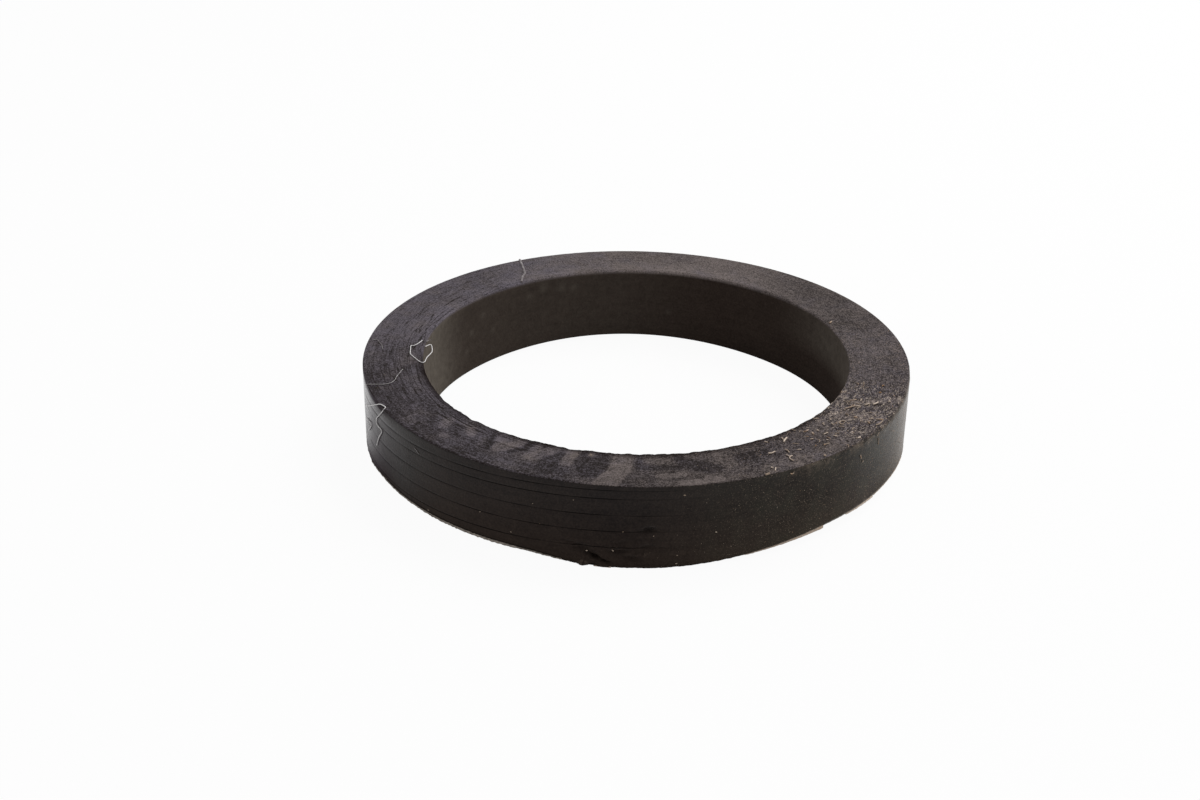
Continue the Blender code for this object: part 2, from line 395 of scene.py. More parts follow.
# Lint hairs: thickness, brightness, and the places that each one passes
LINT_HAIRS = (
    (0.085 * MM, 1.3, (on_wall(-164.1, 5.05), on_wall(-160.3, 5.80), on_wall(-156.2, 6.70),
                       on_wall(-153.2, 7.40), on_top(-151.8, 24.92), on_top(-150.7, 24.78),
                       on_top(-150.0, 24.70), on_top(-149.6, 24.90), on_wall(-149.9, 7.40),
                       on_wall(-151.6, 6.70), on_wall(-153.7, 6.00), on_wall(-154.2, 5.30),
                       on_wall(-150.2, 5.40), on_wall(-152.8, 4.30), on_wall(-154.5, 3.10))),
    (0.080 * MM, 1.2, (on_wall(-163.4, 3.90), on_wall(-158.8, 4.50), on_wall(-157.8, 4.30),
                       on_wall(-161.3, 3.15))),
    (0.045 * MM, 0.2, (on_wall(-137.4, 6.3), on_wall(-136.6, 6.15), on_wall(-136.0, 5.95))),
    (0.050 * MM, 0.45, (on_wall(-161.4, 7.6), on_top(-161.4, 24.95), on_top(-160.8, 24.2),
                        on_top(-160.2, 23.25), on_top(-161.3, 22.55), on_top(-163.8, 22.15),
                        on_top(-167.2, 21.45))),
    (0.078 * MM, 1.1, (on_top(176.0, 19.95), on_top(178.2, 20.25), on_top(179.5, 20.60),
                       on_top(179.2, 20.85), on_top(-178.0, 20.75), on_top(-175.7, 20.75),
                       on_top(-173.9, 20.40), on_top(-171.4, 19.95), on_top(-170.2, 19.70),
                       on_top(-170.4, 19.40), on_top(-171.7, 19.30), on_top(-173.3, 19.20),
                       on_top(-175.3, 18.90), on_top(-177.2, 18.70), on_top(178.4, 18.95),
                       on_top(178.4, 19.15), on_top(179.7, 19.45))),
    (0.060 * MM, 0.15, (on_top(176.0, 19.95), on_top(176.7, 19.55), on_top(175.3, 19.35),
                        on_top(175.5, 19.15))),
    (0.060 * MM, 0.15, (on_top(176.9, 24.50), on_top(176.7, 24.10), on_top(178.1, 23.85),
                        on_top(179.1, 23.55), on_top(-178.5, 23.35))),
    (0.230 * MM, 0.15, (on_top(119.4, 24.95), on_top(119.8, 24.3), on_top(120.8, 23.0),
                        on_top(121.8, 21.9))),
    (0.250 * MM, 0.05, (on_top(121.8, 21.9), on_top(122.3, 21.4), on_top(123.9, 20.9),
                        on_top(126.2, 19.75))),
)
HAIR_CORNER_CUTS = 2

# Fibres lie just clear of the surface, but a thick, matted one sinks in rather than stand higher
FIBRE_CLEARANCE = 0.02 * MM
FIBRE_HIGHEST = 0.14 * MM
FIBRE_SIDES = 7
FIBRE_LUMP_MM = 0.25

# Dirt specks: place, size and paleness
DIRT_SPECKS = (
    (on_wall(-98.3, 1.45), 0.085 * MM, 0.80),
    (on_wall(-93.4, 1.65), 0.090 * MM, 0.40),
    (on_wall(-85.9, 3.10), 0.055 * MM, 0.20),
    (on_wall(-74.1, 3.10), 0.080 * MM, 0.60),
    (on_wall(-81.5, 0.42), 0.080 * MM, 0.40),
    (on_wall(-81.4, 1.20), 0.055 * MM, 0.10),
    (on_wall(-113.3, 1.95), 0.060 * MM, 0.35),
    (on_wall(-120.1, 3.00), 0.060 * MM, 0.30),
    (on_wall(-108.8, 5.10), 0.050 * MM, 0.30),
    (on_wall(-100.9, 6.05), 0.050 * MM, 0.20),
    (on_wall(-91.6, 3.45), 0.050 * MM, 0.05),
    (on_wall(-133.7, 0.95), 0.090 * MM, 0.40),
    (on_wall(-80.4, 6.80), 0.090 * MM, -0.10),
    (on_top(-99.9, 20.20), 0.100 * MM, 0.30),
    (on_top(-45.1, 22.90), 0.090 * MM, 1.00),
    (on_top(-32.1, 22.85), 0.100 * MM, 1.00),
    (on_top(-42.4, 22.90), 0.110 * MM, 0.60),
    (on_top(-38.6, 23.55), 0.100 * MM, 0.80),
    (on_top(-23.5, 23.65), 0.090 * MM, 0.80),
    (on_top(-16.8, 22.20), 0.070 * MM, 0.60),
)

# Flakes and single fibres on the top of the crusted stretch: thickness, paleness, and then the
# azimuth and radius of each place passed. Thicknesses and radii are in millimetres.
TOP_FLAKES = (
    (0.15, 1.0, (-51.6, 20.60), (-53.0, 20.85), (-53.5, 21.05)),
    (0.10, 0.5, (-52.6, 20.35), (-52.9, 20.75)),
    (0.13, 0.8, (-59.7, 22.00), (-59.1, 22.10), (-58.0, 22.00)),
    (0.08, 0.3, (-55.6, 22.10), (-55.3, 22.25), (-55.4, 22.55), (-55.7, 22.75)),
    (0.09, 0.7, (-56.7, 22.90), (-56.5, 23.30), (-57.0, 23.45), (-57.1, 23.75), (-56.9, 24.00)),
    (0.10, 0.9, (-55.9, 23.30), (-56.6, 23.30)),
    (0.12, 1.0, (-62.4, 24.10), (-62.1, 24.25)),
    (0.10, 0.8, (-61.6, 24.30), (-62.3, 24.70)),
    (0.16, 0.0, (-64.7, 24.95), (-63.8, 24.90)),
    (0.11, 0.7, (-43.9, 22.15), (-42.7, 22.20)),
    (0.15, 0.5, (-45.2, 21.25), (-45.5, 21.55)),
    (0.14, 0.6, (-43.6, 21.30), (-43.4, 21.45)),
    (0.10, 0.5, (-45.7, 20.80), (-44.8, 20.75)),
    (0.10, 0.5, (-57.3, 20.15), (-56.8, 20.40)),
    (0.10, 0.4, (-47.9, 22.00), (-47.3, 22.10)),
    (0.10, 0.5, (-53.4, 22.70), (-52.7, 22.85)),
    (0.07, 0.1, (-52.3, 21.60), (-51.4, 22.00)),
    (0.09, 0.2, (-47.5, 23.40), (-46.1, 23.50)),
    (0.12, 0.5, (-50.7, 24.70), (-50.4, 24.85)),
    (0.14, 1.0, (-24.7, 22.85), (-24.2, 23.00), (-23.3, 23.10)),
    (0.12, 0.6, (-25.9, 22.25), (-24.8, 22.55)),
    (0.15, 0.6, (-27.3, 21.65), (-27.2, 22.05)),
    (0.11, 0.2, (-30.1, 21.00), (-28.7, 21.30), (-27.5, 21.60)),
    (0.09, 0.6, (-22.0, 23.85), (-21.9, 24.10)),
    (0.10, 0.4, (-24.6, 21.65), (-23.5, 21.65)),
    (0.12, 0.4, (-32.6, 22.35), (-32.5, 22.65)),
    (0.10, 0.3, (-35.5, 22.15), (-36.0, 21.85), (-36.9, 21.85), (-37.5, 22.10), (-37.1, 22.35)),
    (0.10, 0.4, (-38.4, 21.40), (-38.8, 21.75)),
    (0.11, 0.4, (-31.5, 23.55), (-30.9, 23.90)),
    (0.09, 0.2, (-30.8, 24.10), (-30.2, 24.70)),
    (0.09, 0.2, (-33.2, 24.55), (-32.4, 24.70), (-30.8, 24.70)),
    (0.12, 0.2, (-32.9, 23.70), (-33.4, 24.05)),
    (0.13, 0.9, (-40.3, 24.60), (-39.6, 24.65)),
    (0.12, 0.0, (-18.6, 22.70), (-18.5, 22.90)),
    (0.14, 0.4, (22.2, 19.95), (22.8, 20.30)),
)

# Single fibres on the wall below it, given in the same way but with heights for radii
WALL_FLAKES = (
    (0.08, 0.2, (-59.4, 7.30), (-58.8, 7.20), (-58.6, 7.35)),
    (0.06, 0.1, (-34.6, 7.05), (-33.9, 7.25)),
    (0.06, 0.1, (-33.8, 6.70), (-33.7, 6.10)),
    (0.07, 0.3, (-40.4, 6.25), (-40.1, 5.90)),
    (0.07, 0.3, (-39.3, 5.60), (-39.5, 5.40)),
)

# Thin lips of rubber that the knife left along the lower rim: first and last azimuth,
# thickness, how much of it is left at the first end, and paleness
RIM_LIPS = (
    (-97.0, -93.4, 0.18 * MM, 0.50, 0.90),
    (-68.0, -49.7, 0.38 * MM, 0.25, 0.50),
    (-43.0, -33.5, 0.34 * MM, 0.50, 0.95),
    (-33.0, -8.0, 0.24 * MM, 0.70, 0.30),
)

# The frayed fringe along the lower left rim, given in the same way
RIM_FRINGES = (
    (-161.0, -149.0, 0.16 * MM, 0.50, 0.70),
    (-150.5, -137.0, 0.20 * MM, 0.60, 0.85),
    (-138.5, -123.0, 0.24 * MM, 0.80, 0.90),
    (-124.5, -112.0, 0.22 * MM, 1.10, 1.00),
    (-113.0, -103.0, 0.12 * MM, 1.50, 0.80),
)
RIM_LIP_STEP = 0.3
RIM_RAGGEDNESS = 0.16 * MM

# How far up the rounded lower edge each is laid, in degrees from its underside
LIP_TURN = 38.0
FRINGE_TURN = 67.0

# Short curled fibres that cling to the rough stretch, placed by a seeded draw
CURL_COUNT = 34
CURL_SEED = 11
CURL_AZIMUTHS = (-58.0, -14.0)
CURL_RADII = (20.0 * MM, 24.6 * MM)
CURL_LENGTHS = (0.22 * MM, 0.60 * MM)
CURL_BENDS = (0.3, 2.4)
CURL_THICKNESSES = (0.045 * MM, 0.090 * MM)
CURL_PALENESSES = (-0.2, 0.55)
CURL_STEPS = 6
CURL_HUMP = 0.05 * MM

# Scattered flecks and crumbs: half sizes along, across and up, how far each may turn from lying
# along the ring, its own unevenness, the clumps it lies in, and how much small ones outnumber
FLECK_SHAPE = (1.3, 0.65, 0.45)
FLECK_TURN = 0.7
FLECK_LUMP_MM = 0.06
FLECK_LUMP_DEPTH = 0.06 * MM
FLECK_CLUMP_MM = 1.1
SMALL_FLECK_POWER = 2.6
SIZE_SEED = 5
PALENESS_SEED = 6
TURN_SEED = 7


# Colours and patterns

def linear(colour):
    """The linear red, green and blue of an sRGB hex colour."""
    parts = [int(colour[start:start + 2], 16) / 255 for start in (1, 3, 5)]
    return tuple(p / 12.92 if p <= 0.04045 else ((p + 0.055) / 1.055) ** 2.4 for p in parts)


def opaque(colour):
    """A colour with full alpha, for a socket."""
    return (*colour, 1.0)


def per(size_mm):
    """The scale at which a noise pattern's features have this size."""
    return 1.0 / (size_mm * MM)


# Node trees

MATH = "ShaderNodeMath"
VECTOR = "ShaderNodeVectorMath"
NOISE = "ShaderNodeTexNoise"
RANGE = "ShaderNodeMapRange"
MIX = "ShaderNodeMix"
CLAMP = "ShaderNodeClamp"
COMBINE = "ShaderNodeCombineXYZ"
SEPARATE = "ShaderNodeSeparateXYZ"
POSITION = "GeometryNodeInputPosition"
SET_POSITION = "GeometryNodeSetPosition"
NAMED = "GeometryNodeInputNamedAttribute"
STORE = "GeometryNodeStoreNamedAttribute"
RANDOM = "FunctionNodeRandomValue"


def add(tree, kind, *values, inputs=(), out=0, **settings):
    """Adds a node, sets it, fills its inputs from values or sockets, and returns an output."""
    node = tree.nodes.new(kind)
    for name, setting in settings.items():
        setattr(node, name, setting)
    for key, value in [*enumerate(values), *dict(inputs).items()]:
        if isinstance(value, bpy.types.NodeSocket):
            tree.links.new(value, node.inputs[key])
        elif value is not None:
            node.inputs[key].default_value = value
    return node.outputs[out]


def weighed(tree, total, amount, weight=1.0, centre=0.0):
    """Adds an amount less its centre, times a weight, to a total."""
    value = add(tree, MATH, amount, centre, operation="SUBTRACT")
    return add(tree, MATH, value, weight, total, operation="MULTIPLY_ADD")


def layered(tree, total, found, layers):
    """Adds several patterns to a total, each less its middle and times its weight."""
    for pattern, weight in layers:
        total = weighed(tree, total, found[pattern], weight, PATTERN_MIDDLE)
    return total


def product(tree, first, *others):
    """The product of several values."""
    for other in others:
        first = add(tree, MATH, first, other, operation="MULTIPLY")
    return first


def blended(tree, share, colour, other):
    """One colour turning into another as the share goes from 0 to 1."""
    return add(tree, MIX, share, inputs={6: colour, 7: other}, data_type="RGBA", out=2)


def new_tree(name, sizes):
    """A Geometry Nodes tree with a named input for each size, and its inputs' sockets."""
    tree = bpy.data.node_groups.new(name, "GeometryNodeTree")
    tree.is_modifier = True
    tree.interface.new_socket("Geometry", in_out="OUTPUT", socket_type="NodeSocketGeometry")
    tree.interface.new_socket("Geometry", in_out="INPUT", socket_type="NodeSocketGeometry")
    for label, kind in sizes.items():
        tree.interface.new_socket(label, in_out="INPUT", socket_type="NodeSocket" + kind)
    return tree, tree.nodes.new("NodeGroupInput").outputs


def end_tree(tree, geometry, material):
    """Realizes what the tree made, gives it its material and ends the tree."""
    real = add(tree, "GeometryNodeRealizeInstances", geometry)
    smooth = add(tree, "GeometryNodeSetShadeSmooth", real)
    dressed = add(tree, "GeometryNodeSetMaterial", smooth, inputs={"Material": material})
    tree.links.new(dressed, tree.nodes.new("NodeGroupOutput").inputs[0])


def grow(host, tree, values):
    """Runs a tree on an object and keeps the result as the object's plain mesh."""
    modifier = host.modifiers.new(tree.name, "NODES")
    modifier.node_group = tree
    for item in tree.interface.items_tree:
        if item.in_out == "INPUT" and item.name in values:
            modifier[item.identifier] = values[item.name]
    depsgraph = bpy.context.evaluated_depsgraph_get()
    made = bpy.data.meshes.new_from_object(
        host.evaluated_get(depsgraph), preserve_all_data_layers=True, depsgraph=depsgraph)
    host.modifiers.remove(modifier)
    host.data = made
    made.name = host.name


def new_material(name):
    """A material with its Principled shader, its tree and the shader's inputs."""
    material = bpy.data.materials.new(name)
    material.use_nodes = True
    tree = material.node_tree
    return material, tree, tree.nodes["Principled BSDF"].inputs


def placed(name, data):
    """A new object in the scene, with this mesh, lamp or lens as its data."""
    made = bpy.data.objects.new(name, data)
    bpy.context.scene.collection.objects.link(made)
    return made


def new_object(name, places, edges=()):
    """An object whose mesh has only points, and perhaps edges between them."""
    mesh = bpy.data.meshes.new(name)
    mesh.from_pydata([tuple(place) for place in places], list(edges), [])
    return placed(name, mesh)


def mark(mesh, name, values):
    """Stores a value, or a vector, for each point of a mesh."""
    values = np.asarray(values, dtype=np.float32)
    kind, field = ("FLOAT", "value") if values.ndim == 1 else ("FLOAT_VECTOR", "vector")
    attribute = mesh.attributes.new(name, kind, "POINT")
    attribute.data.foreach_set(field, values.ravel())


# The ring's shape

def turn_between(azimuth, middle):
    """Signed angle in degrees from middle to azimuth, between -180 and 180."""
    return (azimuth - middle + 180.0) % 360.0 - 180.0


def worn(azimuth, stretch):
    """How far a stretch is worn at an azimuth: 1 on its flat, easing to 0 past its shoulders."""
    middle, flat, shoulder = stretch
    past_flat = np.abs(turn_between(azimuth, middle)) - flat
    share = np.clip(past_flat / shoulder, 0.0, 1.0)
    return (1.0 + np.cos(math.pi * share)) / 2


def at_least(least, share):
    """A share from 0 to 1, squeezed so that it starts at the least and still ends at 1."""
    return least + (1.0 - least) * share


def edge_round_at(azimuth):
    """Rounding of the lower outer edge, which is rounder where it is worn."""
    share = np.maximum(worn(azimuth, LEFT_STRETCH), worn(azimuth, RIGHT_STRETCH))
    return BASE_EDGE_ROUND + (WORN_EDGE_ROUND - BASE_EDGE_ROUND) * share


def outer_lift_at(azimuth):
    """Height of the lower outer edge above the base."""
    plain = PLAIN_LIFT * (1.0 - worn(azimuth, SHARP_STRETCH))
    left = LEFT_LIFT * worn(azimuth, LEFT_STRETCH)
    right = RIGHT_LIFT * worn(azimuth, RIGHT_STRETCH)
    seen = np.maximum(plain, np.maximum(left, right))
    return np.maximum(seen - ROUND_EDGE_RISE * (edge_round_at(azimuth) - BASE_EDGE_ROUND), 0.0)


def bore_lift_at(azimuth):
    """Height of the lower bore edge above the base."""
    return BORE_PLAIN_LIFT + (BORE_BACK_LIFT - BORE_PLAIN_LIFT) * worn(azimuth, BACK_STRETCH)


def top_round_at(azimuth):
    """Rounding of the top outer edge."""
    return TOP_OUTER_ROUND + (TOP_RIGHT_ROUND - TOP_OUTER_ROUND) * worn(azimuth, TOP_RIGHT_STRETCH)


def lip_round_at(azimuth):
    """Rounding of the bore's top edge, which is soft at the back and a little at the left."""
    back = (TOP_BORE_BACK_ROUND - TOP_BORE_ROUND) * worn(azimuth, TOP_BORE_BACK_STRETCH)
    left = (TOP_BORE_LEFT_ROUND - TOP_BORE_ROUND) * worn(azimuth, LEFT_LIP_STRETCH)
    return TOP_BORE_ROUND + np.maximum(back, left)


def line_dip_at(azimuth):
    """How far the knife lines lie below their height at the front."""
    turn = turn_between(azimuth, LINE_TOP_AZIMUTH)
    side_dip = np.where(turn < 0, LEFT_LINE_DIP, RIGHT_LINE_DIP)
    in_front = side_dip * np.sin(np.radians(turn)) ** 2
    round_the_back = np.radians((-90.0 - turn) % 360.0)
    left_share = (1.0 + np.cos(round_the_back)) / 2
    behind = RIGHT_LINE_DIP + (LEFT_LINE_DIP - RIGHT_LINE_DIP) * left_share
    return np.where(np.abs(turn) < 90.0, in_front, behind)


def line_heights():
    """Heights of the knife lines at the front, from the lowest up."""
    spaced = [RING_HEIGHT - SECOND_LINE_DROP - LINE_PITCH * step for step in range(LINE_COUNT - 1)]
    return spaced[::-1] + [RING_HEIGHT - FIRST_LINE_DROP]


def quarter_turn(centre_radius, centre_height, rounding, start):
    """Points of a rounded corner, anticlockwise in the section from a start in degrees."""
    points = []
    for step in range(CORNER_STEPS + 1):
        turn = math.radians(start + 90.0 * step / CORNER_STEPS)
        points.append((centre_radius + rounding * math.cos(turn),
                       centre_height + rounding * math.sin(turn)))
    return points


def between(start, end, count):
    """Evenly spaced points from start to end, without the two."""
    shares = [(step + 1) / (count + 1) for step in range(count)]
    return [(start[0] + (end[0] - start[0]) * share, start[1] + (end[1] - start[1]) * share)
            for share in shares]


def outer_wall_bands(line_width, foot, line_dip):
    """The outer wall up to its highest knife line, as bands of rows and lines."""
    bands = []
    below = (OUTER_RADIUS, foot)
    rows = LOW_WALL_ROWS
    for height, above in zip(line_heights(), line_heights()[1:] + [RING_HEIGHT]):
        lip = height - line_dip - line_width / 2
        bands.append(("wall", between(below, (OUTER_RADIUS, lip), rows)))
        steps = len(LINE_PROFILE) - 1
        line = [(OUTER_RADIUS, lip + line_width * step / steps) for step in range(steps + 1)]
        bands.append(("line", line))
        below = line[-1]
        rows = int((above - height) / WALL_ROW) - 1
    return bands


def section_bands(line_width, outer_lift=0.0, bore_lift=0.0, top_round=0.0, lip_round=0.0,
                  edge_round=0.0, line_dip=0.0):
    """The section's outline under some wear, as named bands of points, anticlockwise."""
    foot = outer_lift + edge_round
    toe = (OUTER_RADIUS - outer_lift * WORN_RUN_PER_RISE - edge_round - BASE_EDGE_ROUND, 0.0)
    bore_toe = (BORE_RADIUS + bore_lift * WORN_RUN_PER_RISE + 2 * BASE_EDGE_ROUND, 0.0)
    low_edge = quarter_turn(OUTER_RADIUS - edge_round, foot, edge_round, -90.0)
    top_edge = quarter_turn(OUTER_RADIUS - top_round, RING_HEIGHT - top_round, top_round, 0.0)
    lip = quarter_turn(BORE_RADIUS + lip_round, RING_HEIGHT - lip_round, lip_round, 90.0)
    bore_edge = quarter_turn(BORE_RADIUS + BASE_EDGE_ROUND, bore_lift + BASE_EDGE_ROUND,
                             BASE_EDGE_ROUND, 180.0)
    wall = outer_wall_bands(line_width, foot, line_dip)
    return [
        ("under", [toe] + between(toe, low_edge[0], CORNER_STEPS)),
        ("low_edge", low_edge),
        *wall,
        ("wall", between(wall[-1][1][-1], top_edge[0], HIGH_WALL_ROWS)),
        ("top", top_edge + between(top_edge[-1], lip[0], TOP_ROWS) + lip),
        ("bore", between(lip[-1], bore_edge[0], BORE_ROWS) + bore_edge),
        ("under", between(bore_edge[-1], bore_toe, 2)),
        ("under", [bore_toe] + between(bore_toe, toe, UNDER_ROWS)),
    ]


def outline(bands):
    """The points of all bands as an array of radius, 0 and height."""
    points = [point for _, band in bands for point in band]
    return np.array([(radius, 0.0, height) for radius, height in points])


def loop_object(name, places):
    """An object whose mesh is one closed loop of edges."""
    count = len(places)
    return new_object(name, places, [(point, (point + 1) % count) for point in range(count)])


def section_loop(line_width):
    """The fresh section as a loop, marked with its faces and with how each wear changes it."""
    fresh_wear = {"top_round": TOP_OUTER_ROUND, "lip_round": TOP_BORE_ROUND,
                  "edge_round": BASE_EDGE_ROUND}
    bands = section_bands(line_width, **fresh_wear)
    fresh = outline(bands)
    loop = loop_object("ring_section", fresh)
    mark(loop.data, "fresh_place", fresh)
    for kind in WEAR_KINDS:
        more = {**fresh_wear, kind: fresh_wear.get(kind, 0.0) + MM}
        change = (outline(section_bands(line_width, **more)) - fresh) / MM
        mark(loop.data, kind + "_change", change)
    names = np.array([name for name, band in bands for _ in band])
    groove = [depth for name, band in bands
              for depth in (LINE_PROFILE if name == "line" else (0.0,) * len(band))]
    mark(loop.data, "groove", groove)
    mark(loop.data, "outside", np.isin(names, ("wall", "line", "low_edge")))
    mark(loop.data, "top", names == "top")
    for name, (radius, height, reach) in RELIEF_CORNERS.items():
        distance = np.hypot(fresh[:, 0] - radius, fresh[:, 2] - height)
        mark(loop.data, name, np.exp(-(distance / reach) ** 2))
    return loop


def station_loop():
    """The stations round the ring as a loop, marked with the wear at each azimuth."""
    turn = np.linspace(-math.pi, math.pi, STATION_COUNT, endpoint=False)
    azimuth = STATION_MIDDLE + np.degrees(turn - STATION_CROWDING * np.sin(turn))
    around = np.radians(azimuth)
    places = OUTER_RADIUS * np.stack([np.cos(around), np.sin(around), 0.0 * around], 1)
    rough = worn(azimuth, ROUGH_STRETCH)
    toothed = np.maximum(worn(azimuth, TOOTHED_STRETCH), ROUGH_TEETH * rough)
    marks = {
        "azimuth": around,
        "outer_lift": outer_lift_at(azimuth),
        "bore_lift": bore_lift_at(azimuth),
        "top_round": top_round_at(azimuth) - TOP_OUTER_ROUND,
        "lip_round": lip_round_at(azimuth) - TOP_BORE_ROUND,
        "edge_round": edge_round_at(azimuth) - BASE_EDGE_ROUND,
        "line_dip": line_dip_at(azimuth),
        "line_clear": at_least(LEAST_LINE, worn(azimuth, CLEAR_LINE_STRETCH)),
        "rough": rough,
        "scored": at_least(LEAST_SCORING, worn(azimuth, SCORED_STRETCH)),
        "toothed": at_least(LEAST_TEETH, toothed),
    }
    loop = loop_object("worn_ring", places)
    for name, values in marks.items():
        mark(loop.data, name, values)
    return loop


def worn_place(tree):
    """Radius and height in the section, after all the wear at each station."""
    place = add(tree, NAMED, "fresh_place", data_type="FLOAT_VECTOR")
    for kind in WEAR_KINDS:
        change = add(tree, NAMED, kind + "_change", data_type="FLOAT_VECTOR")
        amount = add(tree, NAMED, kind)
        step = add(tree, VECTOR, change, inputs={"Scale": amount}, operation="SCALE")
        place = add(tree, VECTOR, place, step, operation="ADD")
    radius = add(tree, SEPARATE, place)
    return radius, radius.node.outputs["Z"]


def wall_mark_depth(tree, azimuth, height, ragged):
    """Depth of the tears, hollows and creases at a place on the outer wall, with ragged edges."""
    total = 0.0
    for middle, height_mm, half_length_mm, half_height_mm, depth_mm, tilt in WALL_MARKS:
        turn = add(tree, MATH, azimuth, math.radians(middle), operation="SUBTRACT")
        wrapped = add(tree, MATH, turn, math.pi, -math.pi, operation="WRAP")
        along = add(tree, MATH, wrapped, OUTER_RADIUS, operation="MULTIPLY")
        up = add(tree, MATH, height, height_mm * MM, operation="SUBTRACT")
        place = add(tree, COMBINE, along, up)
        level = add(tree, "ShaderNodeVectorRotate", place, rotation_type="Z_AXIS",
                    inputs={"Angle": math.radians(-tilt)})
        halves = (half_length_mm * MM, half_height_mm * MM, 1.0)
        scaled = add(tree, VECTOR, level, halves, operation="DIVIDE")
        distance = add(tree, VECTOR, scaled, operation="LENGTH", out="Value")
        distance = weighed(tree, distance, ragged, MARK_WARP, PATTERN_MIDDLE)
        share = add(tree, RANGE, distance, 0.0, 1.0, depth_mm * MM, 0.0,
                    interpolation_type="SMOOTHSTEP")
        total = add(tree, MATH, total, share, operation="ADD")
    return total


def around_noise(tree, azimuth, reach_mm, height, height_mm, detail, seed):
    """Noise that runs round the ring with features of one length, and changes up it by another."""
    cosine = add(tree, MATH, azimuth, operation="COSINE")
    sine = add(tree, MATH, azimuth, operation="SINE")
    circle = add(tree, COMBINE, cosine, sine)
    wide = add(tree, VECTOR, circle, inputs={"Scale": OUTER_RADIUS * per(reach_mm)},
               operation="SCALE")
    tall = add(tree, MATH, height, per(height_mm), operation="MULTIPLY")
    lifted = add(tree, COMBINE, 0.0, 0.0, tall)
    place = add(tree, VECTOR, wide, lifted, operation="ADD")
    return add(tree, NOISE, place, seed, 1.0, detail, noise_dimensions="4D")


def relief(tree, sizes, azimuth):
    """How far the surface stands out from its plain shape: grain, scoring, crust, ragged edges."""
    place = add(tree, POSITION)
    split = add(tree, SEPARATE, place)
    flat = add(tree, COMBINE, split, split.node.outputs["Y"])
    radius = add(tree, VECTOR, flat, operation="LENGTH", out="Value")
    across = add(tree, MATH, radius, split.node.outputs["Z"], operation="ADD")
    seed = sizes["Seed"]

    def lumps(size_mm, detail, roughness):
        return add(tree, NOISE, place, seed, per(size_mm), detail, roughness, noise_dimensions="4D")

    layers = (
        ("top", "scored", "Scoring depth",
         around_noise(tree, azimuth, 9.0, across, 0.42, 1.0, seed)),
        ("top", None, "Grain depth", lumps(0.42, 2.0, 0.5)),
        ("outside", None, "Wall grain depth", lumps(1.3, 3.0, 0.5)),
        ("top", "rough", "Crust depth", around_noise(tree, azimuth, 1.1, across, 0.42, 3.0, seed)),
        ("by_top_edge", "rough", "Crust depth", lumps(1.1, 3.0, 0.6)),
        ("by_foot", None, "Ragged depth", lumps(0.45, 3.0, 0.65)),
        ("by_lip", "toothed", "Tooth depth", around_noise(tree, azimuth, 1.2, 0.0, 1.0, 4.0, seed)),
    )
    total = 0.0
    for face, stretch, depth, pattern in layers:
        weight = add(tree, NAMED, face)
        if stretch:
            weight = product(tree, weight, add(tree, NAMED, stretch))
        weight = product(tree, weight, sizes[depth])
        total = weighed(tree, total, pattern, weight, PATTERN_MIDDLE)
    return total


def ring_tree():
    """Sweeps the section through the stations, wears it, cuts its knife lines, adds its relief."""
    tree, sizes = new_tree("worn_ring", {
        "Section": "Object", "Line depth": "Float", "Grain depth": "Float",
        "Wall grain depth": "Float", "Scoring depth": "Float", "Crust depth": "Float",
        "Ragged depth": "Float", "Tooth depth": "Float", "Seed": "Float", "Material": "Material"})
    path = add(tree, "GeometryNodeMeshToCurve", sizes["Geometry"])
    section_mesh = add(tree, "GeometryNodeObjectInfo", sizes["Section"], out="Geometry")
    section = add(tree, "GeometryNodeMeshToCurve", section_mesh)
    swept = add(tree, "GeometryNodeCurveToMesh", path, section)
    swept = add(tree, "GeometryNodeFlipFaces", swept)
    azimuth = add(tree, NAMED, "azimuth")
    radius, height = worn_place(tree)

    uneven = around_noise(tree, azimuth, 3.0, height, 0.7, 2.0, sizes["Seed"])
    clear = add(tree, RANGE, uneven, 0.32, 0.58, 0.35, 1.0)
    slit = product(tree, clear, add(tree, NAMED, "line_clear"), add(tree, NAMED, "groove"))
    ragged = around_noise(tree, azimuth, 0.5, height, 0.3, 2.0, sizes["Seed"])
    torn = wall_mark_depth(tree, azimuth, height, ragged)
    torn = product(tree, torn, add(tree, NAMED, "outside"))
    depth = weighed(tree, torn, slit, sizes["Line depth"])
    left = add(tree, MATH, radius, depth, operation="SUBTRACT")
    x = product(tree, left, add(tree, MATH, azimuth, operation="COSINE"))
    y = product(tree, left, add(tree, MATH, azimuth, operation="SINE"))
    place = add(tree, COMBINE, x, y, height)
    shaped = add(tree, SET_POSITION, swept, inputs={"Position": place})
    marked = add(tree, STORE, shaped, inputs={"Name": "slit", "Value": slit})
    marked = add(tree, STORE, marked, inputs={"Name": "torn", "Value": torn})

    normal = add(tree, "GeometryNodeInputNormal")
    offset = add(tree, VECTOR, normal, inputs={"Scale": relief(tree, sizes, azimuth)},
                 operation="SCALE")
    rough = add(tree, SET_POSITION, marked, inputs={"Offset": offset})

    # No bump of the underside reaches below the plane that the ring lies on
    rough_place = add(tree, POSITION)
    raised = add(tree, VECTOR, rough_place, (-1.0, -1.0, 0.0), operation="MAXIMUM")
    resting = add(tree, SET_POSITION, rough, inputs={"Position": raised})
    end_tree(tree, resting, sizes["Material"])
    return tree


# Where the ring is smeared, dusty and rubbed

